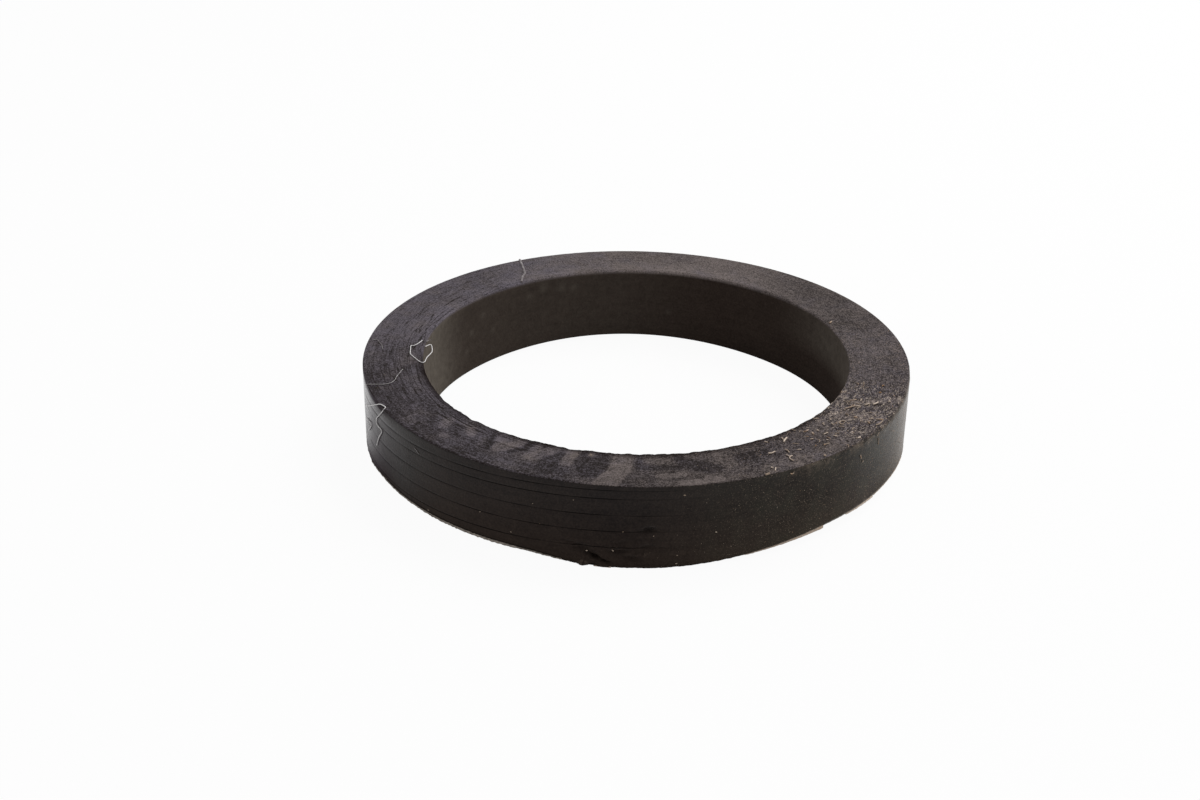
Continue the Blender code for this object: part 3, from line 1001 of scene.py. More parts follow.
def smear_tone(azimuth, radius):
    """Tone of the smears at places on the top face: above 0 is paler and below 0 is darker."""
    tone = np.zeros(len(azimuth))
    for bore_azimuth, bore_mm, outer_azimuth, outer_mm, half_width_mm, strength in SMEARS:
        along = np.radians(turn_between(azimuth, bore_azimuth)) * MIDDLE_RADIUS
        out = radius - bore_mm * MM
        run = math.radians(outer_azimuth - bore_azimuth) * MIDDLE_RADIUS
        rise = outer_mm * MM - bore_mm * MM
        share = np.clip((along * run + out * rise) / (run ** 2 + rise ** 2), 0.0, 1.0)
        distance = np.hypot(along - share * run, out - share * rise)
        inside = (half_width_mm * MM - distance) / SMEAR_EDGE
        tone += strength * np.clip(inside + 0.5, 0.0, 1.0)
    return np.clip(tone, -1.0, 1.0)


def rising(values, start, end):
    """0 below start, 1 above end and a straight rise between them."""
    return np.clip((values - start) / (end - start), 0.0, 1.0)


def wall_bloom_at(azimuth, height):
    """How much bloom lies on the outer wall at each place, with painted light making its foot
    paler.
    """
    bloom = WALL_BLOOM + WALL_PAINTED_LIGHT_PER_MM * height / MM
    bloom += DUSTY_WALL_BLOOM * worn(azimuth, DUSTY_WALL_STRETCH)
    for stretch, amount, fading in FOOT_BLOOMS_AND_PAINTED_LIGHT:
        bloom += amount * worn(azimuth, stretch) * (1.0 - rising(height, *fading))
    return bloom


def wall_shine_at(azimuth, height, dusty_wall):
    """How strongly the outer wall shines at each place."""
    steepness = 1.0 + sum(more * worn(azimuth, stretch) for stretch, more in GLOSS_STEEPENINGS)
    shine = WALL_SHINE * np.clip(height / RING_HEIGHT, 0.0, 1.0) ** steepness
    shine *= 1.0 + sum(extra * worn(azimuth, stretch) for stretch, extra in GLOSS_BOOSTS)
    shine *= 1.0 - (1.0 - DUSTY_SHINE_SHARE) * dusty_wall
    shine *= 1.0 - WARM_FILM_AND_SHEEN_DULLING * worn(azimuth, WARM_FILM_AND_SHEEN_STRETCH)
    strip = rising(height, *(RING_HEIGHT - drop for drop in DULL_STRIP_DROPS))
    return shine * (1.0 - (1.0 - DULL_STRIP_SHARE) * strip * worn(azimuth, DULL_STRIP_STRETCH))


def bore_film_at(azimuth, height):
    """How much dry film, partly painted light, lies on the bore at each place, with its blotches.
    """
    film = sum(share * worn(azimuth, stretch) * rising(height, start, start + FILM_AND_LIGHT_RISE)
               for stretch, share, start in BORE_FILMS_AND_LIGHT)
    for middle, height_mm, reach_mm, share in BORE_BLOTCHES:
        along = np.radians(turn_between(azimuth, middle)) * BORE_RADIUS
        distance = np.hypot(along, height - height_mm * MM)
        film += share * np.exp(-(distance / (reach_mm * MM)) ** 2)
    return film


def bloom_at(azimuth, radius, height, top, outside, bore):
    """How much bloom, painted light and sheen lie at each place, given how far each face it belongs
    to.
    """
    bloom = TOP_BLOOM * top + wall_bloom_at(azimuth, height) * outside + BORE_BLOOM * bore
    for stretch, change in TOP_BLOOM_AND_SHEEN_CHANGES:
        bloom += change * worn(azimuth, stretch) * top
    for stretch, change in PALE_LIPS_AND_SHEEN:
        bloom += change * worn(azimuth, stretch) * (1.0 - rising(radius, *PALE_LIP_RADII)) * top
    return bloom


def rim_looks(azimuth, height, outside):
    """The frayed lower rim, the dark line above it and its crumbs, by their names."""
    above_foot = height - outer_lift_at(azimuth) - edge_round_at(azimuth)
    worn_foot = np.maximum(worn(azimuth, LEFT_STRETCH), worn(azimuth, RIGHT_STRETCH))
    frayed = worn(azimuth, FRAYED_STRETCH)
    line = np.exp(-((above_foot - RIM_LINE_HEIGHT) / RIM_LINE_REACH) ** 2)
    crumbs = outside * rising(above_foot, *CRUMBS_START)
    crumbs *= 1.0 - rising(above_foot, *CRUMBS_END)
    return {
        "low_rim": outside * (1.0 - rising(above_foot, *LOW_RIM_FADE)) * worn_foot,
        "rim_line": outside * line * frayed,
        "crumb_share": crumbs * frayed,
    }


def top_flecks_at(radius, crusted):
    """How densely flecks lie on the top face: most along its two sides and on its crust."""
    by_bore = 1.0 - rising(radius, *BORE_SIDE_RADII)
    by_edge = rising(radius, *OUTER_SIDE_RADII)
    return TOP_FLECKS + TOP_SIDE_FLECKS * np.maximum(by_bore, np.maximum(by_edge, crusted))


def dirt_looks(azimuth, radius, height, top, outside):
    """The dust, the crust and the flecks at each place, by their names."""
    dusty = worn(azimuth, DUSTY_STRETCH)
    dusty_wall = worn(azimuth, DUSTY_WALL_STRETCH) * outside
    crusted = worn(azimuth, CRUST_STRETCH)
    spilt = rising(height, *(RING_HEIGHT - drop for drop in SPILL_DROPS))
    spilt *= worn(azimuth, SPILL_STRETCH)
    high_rim = outside * spilt
    looks = rim_looks(azimuth, height, outside)
    flecks = dusty * top * top_flecks_at(radius, crusted)
    flecks += dusty_wall * (WALL_FLECKS + CRUSTED_WALL_FLECKS * crusted)
    flecks += LOW_RIM_FLECKS * looks["low_rim"]
    flecks += HIGH_RIM_FLECKS * high_rim
    return {
        **looks,
        "fleck_share": flecks + LEAST_FLECKS,
        "fleck_scale": FLECK_SCALE + TOP_FLECK_GAIN * top + CRUST_FLECK_GAIN * crusted * top,
        "dusty_top": dusty * top,
        "dusty_wall": dusty_wall,
        "crust": crusted * np.maximum(top, spilt),
        "high_rim": high_rim,
    }


def looks_at(azimuth, radius, height, facing_up):
    """How the ring is smeared, dusty, scored, rubbed and painted with light at each place, by name.
    """
    top = rising(facing_up, *FACING_UP) * (height > RING_HEIGHT - TOP_REACH)
    outside = (radius > MIDDLE_RADIUS) * (1.0 - top)
    bore = (radius < MIDDLE_RADIUS) * (1.0 - top)
    dirt = dirt_looks(azimuth, radius, height, top, outside)
    from_lip = np.hypot(radius - BORE_RADIUS, height - RING_HEIGHT)
    bare_lip = np.exp(-(from_lip / BARE_LIP_REACH) ** 2)
    wall_shine = wall_shine_at(azimuth, height, dirt["dusty_wall"])
    return {
        **dirt,
        "bloom": bloom_at(azimuth, radius, height, top, outside, bore),
        "bore_film": bore_film_at(azimuth, height) * bore,
        "bare_lip": bare_lip * worn(azimuth, BARE_LIP_STRETCH),
        "shine": TOP_SHINE * top + wall_shine * outside + BORE_SHINE * bore,
        "top_share": top,
        "bore_share": bore,
        "smear": smear_tone(azimuth, radius) * top,
        "glossy": outside * worn(azimuth, GLOSSY_STRETCH),
        "warm_film": outside * worn(azimuth, WARM_FILM_AND_SHEEN_STRETCH),
        "haze": outside * worn(azimuth, PAINTED_SHEEN_STRETCH),
        "scored_top": at_least(LEAST_SEEN_SCORING, worn(azimuth, SCORED_STRETCH)) * top,
        "violet": worn(azimuth, VIOLET_STRETCH),
    }


def mark_looks(mesh):
    """Stores the looks of each point of the ring, for its material and its dirt."""
    places = np.empty(len(mesh.vertices) * 3)
    mesh.vertices.foreach_get("co", places)
    normals = np.empty(len(mesh.vertices) * 3)
    mesh.vertex_normals.foreach_get("vector", normals)
    x, y, z = places.reshape(-1, 3).T
    facing_up = normals.reshape(-1, 3)[:, 2]
    looks = looks_at(np.degrees(np.arctan2(y, x)), np.hypot(x, y), z, facing_up)
    for name, values in looks.items():
        mark(mesh, name, values)


# Materials

def ring_patterns(tree):
    """The marks and noises that the ring's material is made of, by name."""
    place = add(tree, "ShaderNodeTexCoord", out="Object")
    split = add(tree, SEPARATE, place)
    flat = add(tree, COMBINE, split, split.node.outputs["Y"])
    radius = add(tree, VECTOR, flat, operation="LENGTH", out="Value")
    heading = add(tree, VECTOR, flat, operation="NORMALIZE")
    across = add(tree, MATH, radius, split.node.outputs["Z"], operation="ADD")

    def streaks(length_mm, width_mm, detail):
        """Noise drawn out round the ring, as a knife or a lathe leaves it."""
        wide = add(tree, VECTOR, heading, inputs={"Scale": OUTER_RADIUS * per(length_mm)},
                   operation="SCALE")
        thin = add(tree, MATH, across, per(width_mm), operation="MULTIPLY")
        raised = add(tree, COMBINE, 0.0, 0.0, thin)
        at = add(tree, VECTOR, wide, raised, operation="ADD")
        return add(tree, NOISE, at, inputs={"Scale": 1.0, "Detail": detail})

    def lumps(size_mm, detail, roughness=0.5):
        return add(tree, NOISE, place, inputs={
            "Scale": per(size_mm), "Detail": detail, "Roughness": roughness})

    names = ("top_share", "bore_share", "smear", "dusty_top", "dusty_wall", "slit", "torn",
             "low_rim", "rim_line", "high_rim", "crust", "scored_top", "violet", "bloom",
             "bore_film", "bare_lip", "shine", "glossy", "warm_film", "haze")
    found = {name: add(tree, "ShaderNodeAttribute", attribute_name=name, out="Fac")
             for name in names}
    found.update(
        radius=radius, fine=lumps(0.10, 1.0), grain=lumps(0.19, 2.0, 0.65),
        mottle=lumps(0.7, 4.0, 0.6), cloud=lumps(4.5, 3.0), brush=streaks(2.6, 0.14, 2.0),
        flakes=streaks(0.7, 0.15, 2.0), wall_brush=streaks(9.0, 0.30, 3.0),
        scoring=streaks(9.0, 0.45, 1.5), hue=lumps(1.8, 2.0), strokes=slanting_strokes(tree, place))
    return found


def slanting_strokes(tree, place):
    """Noise in short strokes that slant up the right wall, which faces about +X."""
    level = add(tree, "ShaderNodeVectorRotate", place, rotation_type="X_AXIS",
                inputs={"Angle": math.radians(STROKE_SLANT)})
    scaled = add(tree, VECTOR, level, STROKE_SIZE, operation="DIVIDE")
    return add(tree, NOISE, scaled, inputs={"Scale": 1.0, "Detail": 2.0})


def score_lines(tree, found):
    """Hairline cuts that run round the top face: 1 in a cut, and 0 beside it."""
    centred = add(tree, MATH, found["scoring"], 0.5, operation="SUBTRACT")
    distance = add(tree, MATH, centred, operation="ABSOLUTE")
    line = add(tree, RANGE, distance, 0.0, 0.035, 1.0, 0.0)
    by_bore = add(tree, RANGE, found["radius"], 21.4 * MM, 23.0 * MM, 1.0, 0.35)
    return product(tree, line, found["scored_top"], by_bore)


def bloom_share(tree, found, scores):
    """How much grey bloom and painted light cover the black: most in the grain of the cut top face.
    """
    edge = layered(tree, found["smear"], found, SMEAR_LAYERS)
    pale = add(tree, RANGE, edge, 0.2, 0.75)
    rubbed = add(tree, RANGE, edge, -0.2, -0.75)
    top = weighed(tree, found["bloom"], pale, 0.26)
    top = weighed(tree, top, rubbed, -0.15)
    grainy = weighed(tree, 1.3, found["dusty_top"], 0.6)
    grainy = weighed(tree, grainy, found["crust"], 1.2)
    brushed = weighed(tree, 0.30, found["scored_top"], 0.30)
    top = layered(tree, top, found, (("fine", grainy), *TOP_LAYERS, ("brush", brushed)))
    # The hairline cuts are painted darker: painted shade in the cuts
    top = weighed(tree, top, scores, -0.45)
    wall = layered(tree, found["bloom"], found, WALL_LAYERS)
    mixed = add(tree, MIX, found["top_share"], inputs={2: wall, 3: top})
    kept = weighed(tree, 1.0, found["bare_lip"], -0.95)
    return add(tree, CLAMP, product(tree, mixed, kept))


def dust_share(tree, found):
    """How much tan dust lies on the ring: specks along the right, and the rim of the worn foot."""
    speckle = add(tree, RANGE, found["grain"], 0.55, 0.66)
    patches = add(tree, RANGE, found["mottle"], 0.40, 0.64)
    fine_speck = add(tree, RANGE, found["fine"], 0.60, 0.72)
    dust = product(tree, speckle, patches, found["dusty_top"], 0.35)
    dust = weighed(tree, dust, product(tree, fine_speck, found["dusty_wall"]), 0.30)
    dust = weighed(tree, dust, product(tree, patches, found["high_rim"]), 0.30)
    return add(tree, CLAMP, dust)


def flake_share(tree, found):
    """How much of the crust is light, thin flakes, which lie along the ring."""
    light = add(tree, RANGE, found["flakes"], 0.54, 0.62)
    broken = add(tree, RANGE, found["fine"], 0.36, 0.58)
    return product(tree, light, broken, found["crust"], 0.38)


def black_share(tree, found):
    """Painted shade: how dark the ring is painted in its slits, tears, rim crease and crust
    crevices.
    """
    slits = add(tree, MATH, found["slit"], product(tree, found["rim_line"], 0.7),
                operation="MAXIMUM")
    tears = add(tree, RANGE, found["torn"], 0.02 * MM, 0.30 * MM, 0.0, 0.85)
    tears = product(tree, tears, add(tree, RANGE, found["mottle"], 0.35, 0.60, 1.0, 0.65))
    crevices = add(tree, RANGE, found["flakes"], 0.43, 0.35, 0.0, 0.45)
    crevices = product(tree, crevices, found["crust"])
    black = add(tree, MATH, slits, tears, operation="MAXIMUM")
    return add(tree, MATH, black, crevices, operation="MAXIMUM")


def film_share(tree, found):
    """How much dry brown film, partly painted light, covers the bore, in soft blotches."""
    blotches = add(tree, RANGE, found["mottle"], 0.30, 0.65, 0.7, 1.15)
    film = product(tree, found["bore_film"], blotches)
    return add(tree, CLAMP, film)


def bloomed_colour(tree, found, scores, colours):
    """The black rubber under its grey bloom and painted light, warm or cool on the top face."""
    # Rubbed streaks, the left and the crust look cooler, and pale smears look warmer
    cool = weighed(tree, product(tree, found["violet"], 0.9), found["smear"], -0.5)
    cool = weighed(tree, cool, found["dusty_top"], 0.4)
    cool = weighed(tree, cool, found["hue"], 1.6, PATTERN_MIDDLE)
    cool = add(tree, CLAMP, cool)
    top_grey = blended(tree, cool, opaque(colours.top_bloom), opaque(colours.violet_bloom))
    grey = blended(tree, found["top_share"], opaque(colours.wall_bloom), top_grey)
    return blended(tree, bloom_share(tree, found, scores), opaque(colours.rubber), grey)


def surface_films(tree, found, dust, black, colours):
    """What lies over the bloom, lowest first, with painted light and shade: each film's share and
    colour.
    """
    patches = add(tree, RANGE, found["hue"], 0.35, 0.65, 0.06, 0.20)
    strokes = add(tree, RANGE, found["strokes"], 0.36, 0.64, 0.12, 0.42)
    frayed = add(tree, RANGE, found["mottle"], 0.30, 0.60, 0.55, 1.0)
    # What stands proud of the torn wall is painted a little paler: a painted highlight on raised
    # rubber
    proud_highlight = add(tree, RANGE, found["torn"], -0.03 * MM, -0.12 * MM, 0.0, 0.15)
    proud_highlight = product(tree, proud_highlight, add(tree, RANGE, found["grain"], 0.40, 0.60))
    return (
        (product(tree, patches, found["dusty_wall"]), colours.olive_film),
        # Warm dust strokes on the far right wall, which also paint the warm tint of its glancing
        # sheen
        (product(tree, strokes, found["warm_film"]), colours.dust),
        # Painted sheen: a violet-grey tint laid over the far left wall
        (product(tree, found["haze"], 0.16), colours.haze),
        (product(tree, frayed, found["low_rim"]), colours.frayed_rim),
        # Dry film on the bore, partly painted light that makes its lit parts paler
        (film_share(tree, found), colours.bore_film),
        (dust, colours.dust),
        (flake_share(tree, found), colours.fleck),
        (proud_highlight, colours.dust),
        # Painted shade in the slits, tears, rim crease and crust crevices
        (black, colours.slit),
    )


def knife_cut_rubber(colours):
    """Black filled rubber, parted off a tube with a knife and then lain in a workshop.

    Its cut top is greyed by bloom and dust that sit in the grain, and painted paler at the back as
    a painted sheen. The moulded outer wall stays nearly black, and shines only at a glancing angle;
    its foot is painted paler with painted light, and its slits and tears are darkened with painted
    shade.
    """
    material, tree, shader = new_material("knife_cut_rubber")
    found = ring_patterns(tree)
    scores = score_lines(tree, found)
    dust = dust_share(tree, found)
    # The painted shade of the slits, tears, rim crease and crust crevices
    black = black_share(tree, found)
    colour = bloomed_colour(tree, found, scores, colours)
    for share, film in surface_films(tree, found, dust, black, colours):
        colour = blended(tree, share, colour, opaque(film))
    tree.links.new(colour, shader["Base Color"])

    # The wall took its skin from the mould, and the top is as the knife left it
    roughness = weighed(tree, 0.26, found["top_share"], 0.30)
    roughness = weighed(tree, roughness, found["bore_share"], 0.55)
    roughness = weighed(tree, roughness, found["glossy"], -0.12)
    roughness = weighed(tree, roughness, dust, 0.25)
    roughness = weighed(tree, roughness, found["mottle"], 0.15, PATTERN_MIDDLE)
    tree.links.new(roughness, shader["Roughness"])
    shader["IOR"].default_value = 1.5
    # The painted shade and the bare lip are kept from shining
    dull = add(tree, MATH, black, found["bare_lip"], operation="MAXIMUM")
    shine = product(tree, found["shine"], weighed(tree, 1.0, dull, -0.95))
    tree.links.new(shine, shader["Specular IOR Level"])

    # Grain and scoring too fine for the mesh, a few hundredths of a millimetre deep
    height = weighed(tree, product(tree, found["grain"], 0.6), found["fine"], 0.3)
    height = weighed(tree, height, scores, -0.6)
    bump = add(tree, "ShaderNodeBump", inputs={"Height": height, "Distance": 0.03 * MM})
    tree.links.new(bump, shader["Normal"])
    return material


def marked_material(name, roughness, shine):
    """A plain material, its tree and colour input, and the place and paleness of its pieces."""
    material, tree, shader = new_material(name)
    shader["Roughness"].default_value = roughness
    shader["Specular IOR Level"].default_value = shine
    place = add(tree, "ShaderNodeTexCoord", out="Object")
    paleness = add(tree, "ShaderNodeAttribute", attribute_name="paleness", out="Fac")
    return material, tree, shader["Base Color"], place, paleness


def dried_dirt(colours):
    """Dried lime and dust in tiny matt crumbs, from tan to nearly white."""
    material, tree, base, place, paleness = marked_material("dried_dirt", 0.9, 0.2)
    uneven = add(tree, NOISE, place, inputs={"Scale": per(0.08), "Detail": 2.0})
    share = add(tree, CLAMP, weighed(tree, paleness, uneven, 0.5, PATTERN_MIDDLE))
    hue = add(tree, NOISE, place, inputs={"Scale": per(0.5), "Detail": 1.0})
    rusty = add(tree, RANGE, hue, 0.56, 0.64, 0.0, 0.8)
    tan = blended(tree, rusty, opaque(colours.dust), opaque(colours.rust_dust))
    tree.links.new(blended(tree, share, tan, opaque(colours.fleck)), base)
    return material


def frayed_rubber(colours):
    """Rubber torn into a pale fringe, which is darker where the fringe is thin."""
    material, tree, base, place, paleness = marked_material("frayed_rubber", 0.9, 0.1)
    uneven = add(tree, NOISE, place, inputs={"Scale": per(0.35), "Detail": 3.0})
    share = product(tree, add(tree, RANGE, uneven, 0.35, 0.62, 0.45, 1.0), paleness)
    colour = blended(tree, share, opaque(colours.wall_bloom), opaque(colours.frayed_rim))
    tree.links.new(colour, base)
    return material


def cotton_lint(colours):
    """Fine cotton and polyester fibres, pale and slightly uneven along their length."""
    material, tree, base, place, paleness = marked_material("cotton_lint", 0.6, 0.4)
    uneven = add(tree, NOISE, place, inputs={"Scale": per(0.4), "Detail": 2.0})
    share = add(tree, CLAMP, weighed(tree, paleness, uneven, 1.2, 0.55))
    colour = blended(tree, share, opaque(colours.soiled_lint), opaque(colours.lint))
    tree.links.new(colour, base)
    return material


def shared(make):
    """The material that a function makes, made only once."""
    return bpy.data.materials.get(make.__name__) or make(bpy.context.scene.ring_colours)


# Dirt and lint

def place_of(azimuth, radius, height):
    """The point at an azimuth in degrees, a radius and a height."""
    turn = math.radians(azimuth)
    return Vector((radius * math.cos(turn), radius * math.sin(turn), height))


def normal_of(azimuth, _, height):
    """The direction that the top face or the outer wall faces at a place on it."""
    if height >= RING_HEIGHT:
        return Vector((0.0, 0.0, 1.0))
    return place_of(azimuth, 1.0, 0.0)


def roughened(tree, geometry, size_mm, depth):
    """The geometry with its points moved by noise with features of one size."""
    place = add(tree, POSITION)
    uneven = add(tree, NOISE, place, inputs={"Scale": per(size_mm), "Detail": 1.0}, out="Color")
    offset = add(tree, VECTOR, uneven, (0.5, 0.5, 0.5), operation="SUBTRACT")
    offset = add(tree, VECTOR, offset, inputs={"Scale": depth}, operation="SCALE")
    return add(tree, SET_POSITION, geometry, inputs={"Offset": offset})


def set_lumps(tree, points, rotation, size, seed, material):
    """Sets a small flake on each point, mostly lying along the ring, and roughens its shape."""
    along = add(tree, VECTOR, (0.0, 0.0, 1.0), add(tree, POSITION), operation="CROSS_PRODUCT")
    laid = add(tree, "FunctionNodeAlignRotationToVector", rotation, 1.0, along,
               axis="X", pivot_axis="Z")
    spin = add(tree, RANDOM, inputs={2: -FLECK_TURN, 3: FLECK_TURN, 8: seed}, out=1)
    turned = add(tree, "FunctionNodeAxisAngleToRotation", (0.0, 0.0, 1.0), spin)
    aligned = add(tree, "FunctionNodeRotateRotation", laid, turned, rotation_space="LOCAL")
    flattened = add(tree, VECTOR, FLECK_SHAPE, inputs={"Scale": size}, operation="SCALE")
    lump = add(tree, "GeometryNodeMeshIcoSphere", 1.0, 1)
    lumps = add(tree, "GeometryNodeInstanceOnPoints", points, inputs={
        "Instance": lump, "Rotation": aligned, "Scale": flattened})
    real = add(tree, "GeometryNodeRealizeInstances", lumps)
    end_tree(tree, roughened(tree, real, FLECK_LUMP_MM, FLECK_LUMP_DEPTH), material)


def scatter_tree(name, share_name):
    """Scatters flecks over a surface, as densely as one of its marks says, in loose clumps."""
    tree, sizes = new_tree(name, {
        "Surface": "Object", "Density": "Float", "Smallest": "Float", "Largest": "Float",
        "Palest": "Float", "Seed": "Int", "Material": "Material"})
    surface = add(tree, "GeometryNodeObjectInfo", sizes["Surface"], out="Geometry")
    place = add(tree, POSITION)
    clump = add(tree, NOISE, place, inputs={"Scale": per(FLECK_CLUMP_MM), "Detail": 2.0})
    clumped = add(tree, RANGE, clump, 0.40, 0.62, 0.08, 1.0)
    density = product(tree, clumped, add(tree, NAMED, share_name), sizes["Density"])
    points = add(tree, "GeometryNodeDistributePointsOnFaces", surface, inputs={
        "Density": density, "Seed": sizes["Seed"]})
    draw = add(tree, RANDOM, inputs={2: 0.0, 3: 1.0, 8: SIZE_SEED}, out=1)
    mostly_small = add(tree, MATH, draw, SMALL_FLECK_POWER, operation="POWER")
    size = add(tree, RANGE, mostly_small, 0.0, 1.0, sizes["Smallest"], sizes["Largest"])
    size = product(tree, size, add(tree, NAMED, "fleck_scale"))
    paleness = add(tree, RANDOM, inputs={2: 0.0, 3: 1.0, 8: PALENESS_SEED}, out=1)
    paleness = product(tree, paleness, sizes["Palest"], add(tree, NAMED, "fleck_scale"))
    tinted = add(tree, STORE, points, inputs={"Name": "paleness", "Value": paleness})
    rotation = points.node.outputs["Rotation"]
    set_lumps(tree, tinted, rotation, size, TURN_SEED, sizes["Material"])
    return tree


def speck_tree():
    """Sets a speck on each point of the host, of that point's own size and facing."""
    tree, sizes = new_tree("dirt_specks", {"Seed": "Int", "Material": "Material"})
    facing = add(tree, NAMED, "facing", data_type="FLOAT_VECTOR")
    rotation = add(tree, "FunctionNodeAlignRotationToVector", axis="Z", inputs={"Vector": facing})
    size = add(tree, NAMED, "speck_size")
    set_lumps(tree, sizes["Geometry"], rotation, size, sizes["Seed"], sizes["Material"])
    return tree


def fibre_tree():
    """Makes a round fibre along each line of the host, as thick as its points say."""
    tree, sizes = new_tree("fibre", {"Sides": "Int", "Raggedness": "Float", "Material": "Material"})
    line = add(tree, "GeometryNodeMeshToCurve", sizes["Geometry"])
    ring = add(tree, "GeometryNodeCurvePrimitiveCircle", sizes["Sides"], inputs={"Radius": 0.5})
    tube = add(tree, "GeometryNodeCurveToMesh", line, ring, inputs={
        "Scale": add(tree, NAMED, "thickness"), "Fill Caps": True})
    ragged = roughened(tree, tube, FIBRE_LUMP_MM, sizes["Raggedness"])
    end_tree(tree, ragged, sizes["Material"])
    return tree


def softened(points, rounds):
    """A line with its corners cut back, which bends as a stiff fibre does."""
    for _ in range(rounds):
        cut = [points[0]]
        for here, ahead in zip(points, points[1:]):
            cut += [here.lerp(ahead, 0.25), here.lerp(ahead, 0.75)]
        points = cut + [points[-1]]
    return points


def hair_line(thickness, places):
    """Points of a lint hair that lies on the ring's surface and bridges its edges."""
    clear = min(thickness / 2 + FIBRE_CLEARANCE, FIBRE_HIGHEST - thickness / 2)
    points = [place_of(*place) + normal_of(*place) * clear for place in places]
    return softened(points, HAIR_CORNER_CUTS)


def flake_lines(on_face, flakes):
    """Thickness, paleness and points of each flake of a table, on the top face or the wall."""
    lines = []
    for thickness_mm, paleness, *places in flakes:
        thickness = thickness_mm * MM
        points = hair_line(thickness, [on_face(*place) for place in places])
        lines.append((thickness, paleness, points))
    return lines


def curl_line(draw):
    """Thickness, paleness and points of a short curled fibre that lies on the top face."""
    azimuth = draw.uniform(*CURL_AZIMUTHS)
    radius = draw.uniform(*CURL_RADII)
    thickness = draw.uniform(*CURL_THICKNESSES)
    paleness = draw.uniform(*CURL_PALENESSES)
    step = draw.uniform(*CURL_LENGTHS) / CURL_STEPS
    bend = draw.choice((-1, 1)) * draw.uniform(*CURL_BENDS) / CURL_STEPS
    heading = draw.uniform(0.0, 2 * math.pi)
    point = place_of(azimuth, radius, RING_HEIGHT + thickness / 2)
    points = [point]
    for count in range(CURL_STEPS):
        point = point + step * Vector((math.cos(heading), math.sin(heading), 0.0))
        heading += bend
        hump = CURL_HUMP * math.sin(math.pi * (count + 1) / CURL_STEPS)
        points.append(point + Vector((0.0, 0.0, hump)))
    return thickness, paleness, points


def rim_lip_line(turn, first, last, thickness, start_share, paleness):
    """Thicknesses, paleness and points of a lip along the lower rim, which ends in a step."""
    azimuths = np.arange(first, last, RIM_LIP_STEP)
    rounding = edge_round_at(azimuths)
    radii = OUTER_RADIUS - rounding * (1.0 - math.sin(math.radians(turn)))
    heights = outer_lift_at(azimuths) + rounding * (1.0 - math.cos(math.radians(turn)))
    points = [place_of(*place) for place in zip(azimuths, radii, heights)]
    thicknesses = thickness * np.linspace(start_share, 1.0, len(points))
    return thicknesses, paleness, points


def make_fibres(name, lines, material, raggedness=0.0):
    """One object with a round fibre along each line, given as thickness, paleness and points."""
    places = []
    edges = []
    thicknesses = []
    palenesses = []
    for thickness, paleness, points in lines:
        first = len(places)
        places += points
        edges += [(first + step, first + step + 1) for step in range(len(points) - 1)]
        thicknesses += list(np.broadcast_to(thickness, len(points)))
        palenesses += [paleness] * len(points)
    fibres = new_object(name, places, edges)
    mark(fibres.data, "thickness", thicknesses)
    mark(fibres.data, "paleness", palenesses)
    grow(fibres, fibre_tree(), {
        "Sides": FIBRE_SIDES, "Raggedness": raggedness, "Material": material})
    return fibres


# The stage

def seen_directly(tree):
    """1 for camera, glossy and transmission rays, which see the white background, and else 0."""
    path = add(tree, "ShaderNodeLightPath", out="Is Camera Ray")
    glossy = path.node.outputs["Is Glossy Ray"]
    through = path.node.outputs["Is Transmission Ray"]
    either = add(tree, MATH, path, glossy, operation="MAXIMUM")
    return add(tree, MATH, either, through, operation="MAXIMUM")


def make_floor(look):
    """A plain matt floor that looks white but still shows the ring's shadow."""
    shape = bmesh.new()
    bmesh.ops.create_grid(shape, x_segments=1, y_segments=1, size=FLOOR_HALF_SIZE)
    mesh = bpy.data.meshes.new("plain_floor")
    shape.to_mesh(mesh)
    shape.free()
    floor = placed("plain_floor", mesh)
    material, tree, shader = new_material("matt_white_board")
    shader["Base Color"].default_value = opaque(look.floor)
    shader["Roughness"].default_value = 1.0
    shader["Specular IOR Level"].default_value = 0.0
    white = add(tree, "ShaderNodeEmission", WHITE, 1.0)
    share = product(tree, seen_directly(tree), FLOOR_WHITE_SHARE)
    both = add(tree, "ShaderNodeMixShader", share, tree.nodes["Principled BSDF"].outputs[0], white)
    tree.links.new(both, tree.nodes["Material Output"].inputs["Surface"])
    mesh.materials.append(material)


def make_surroundings(look):
    """A white backdrop that lights matt surfaces at a lower, even level."""
    world = bpy.data.worlds.new("white_surroundings")
    bpy.context.scene.world = world
    world.use_nodes = True
    tree = world.node_tree
    strength = add(tree, RANGE, seen_directly(tree), 0.0, 1.0, look.sky_level, 1.0)
    background = tree.nodes["Background"].inputs
    background["Color"].default_value = WHITE
    tree.links.new(strength, background["Strength"])


def make_key_light(look):
    """A large soft lamp behind the ring, to its right."""
    lamp = bpy.data.lights.new("soft_key", "AREA")
    lamp.energy = look.key_power
    lamp.size = KEY_SIZE
    key = placed("soft_key", lamp)
    flat = math.cos(math.radians(KEY_ELEVATION))
    height = math.sin(math.radians(KEY_ELEVATION))
    toward = place_of(KEY_AZIMUTH, flat, height)
    key.location = toward * KEY_DISTANCE
    key.rotation_euler = (-toward).to_track_quat("-Z", "Y").to_euler()


def make_camera():
    """The camera, where the ring was photographed from."""
    lens = bpy.data.cameras.new("camera")
    lens.lens = CAMERA_LENS
    lens.sensor_width = CAMERA_SENSOR
    lens.clip_start = CAMERA_CLIP_START
    camera = placed("camera", lens)
    bpy.context.scene.camera = camera
    aim = (CAMERA_TARGET - CAMERA_PLACE).to_track_quat("-Z", "Y")
    roll = Quaternion((0.0, 0.0, 1.0), math.radians(CAMERA_ROLL))
    camera.matrix_world = Matrix.LocRotScale(CAMERA_PLACE, aim @ roll, None)


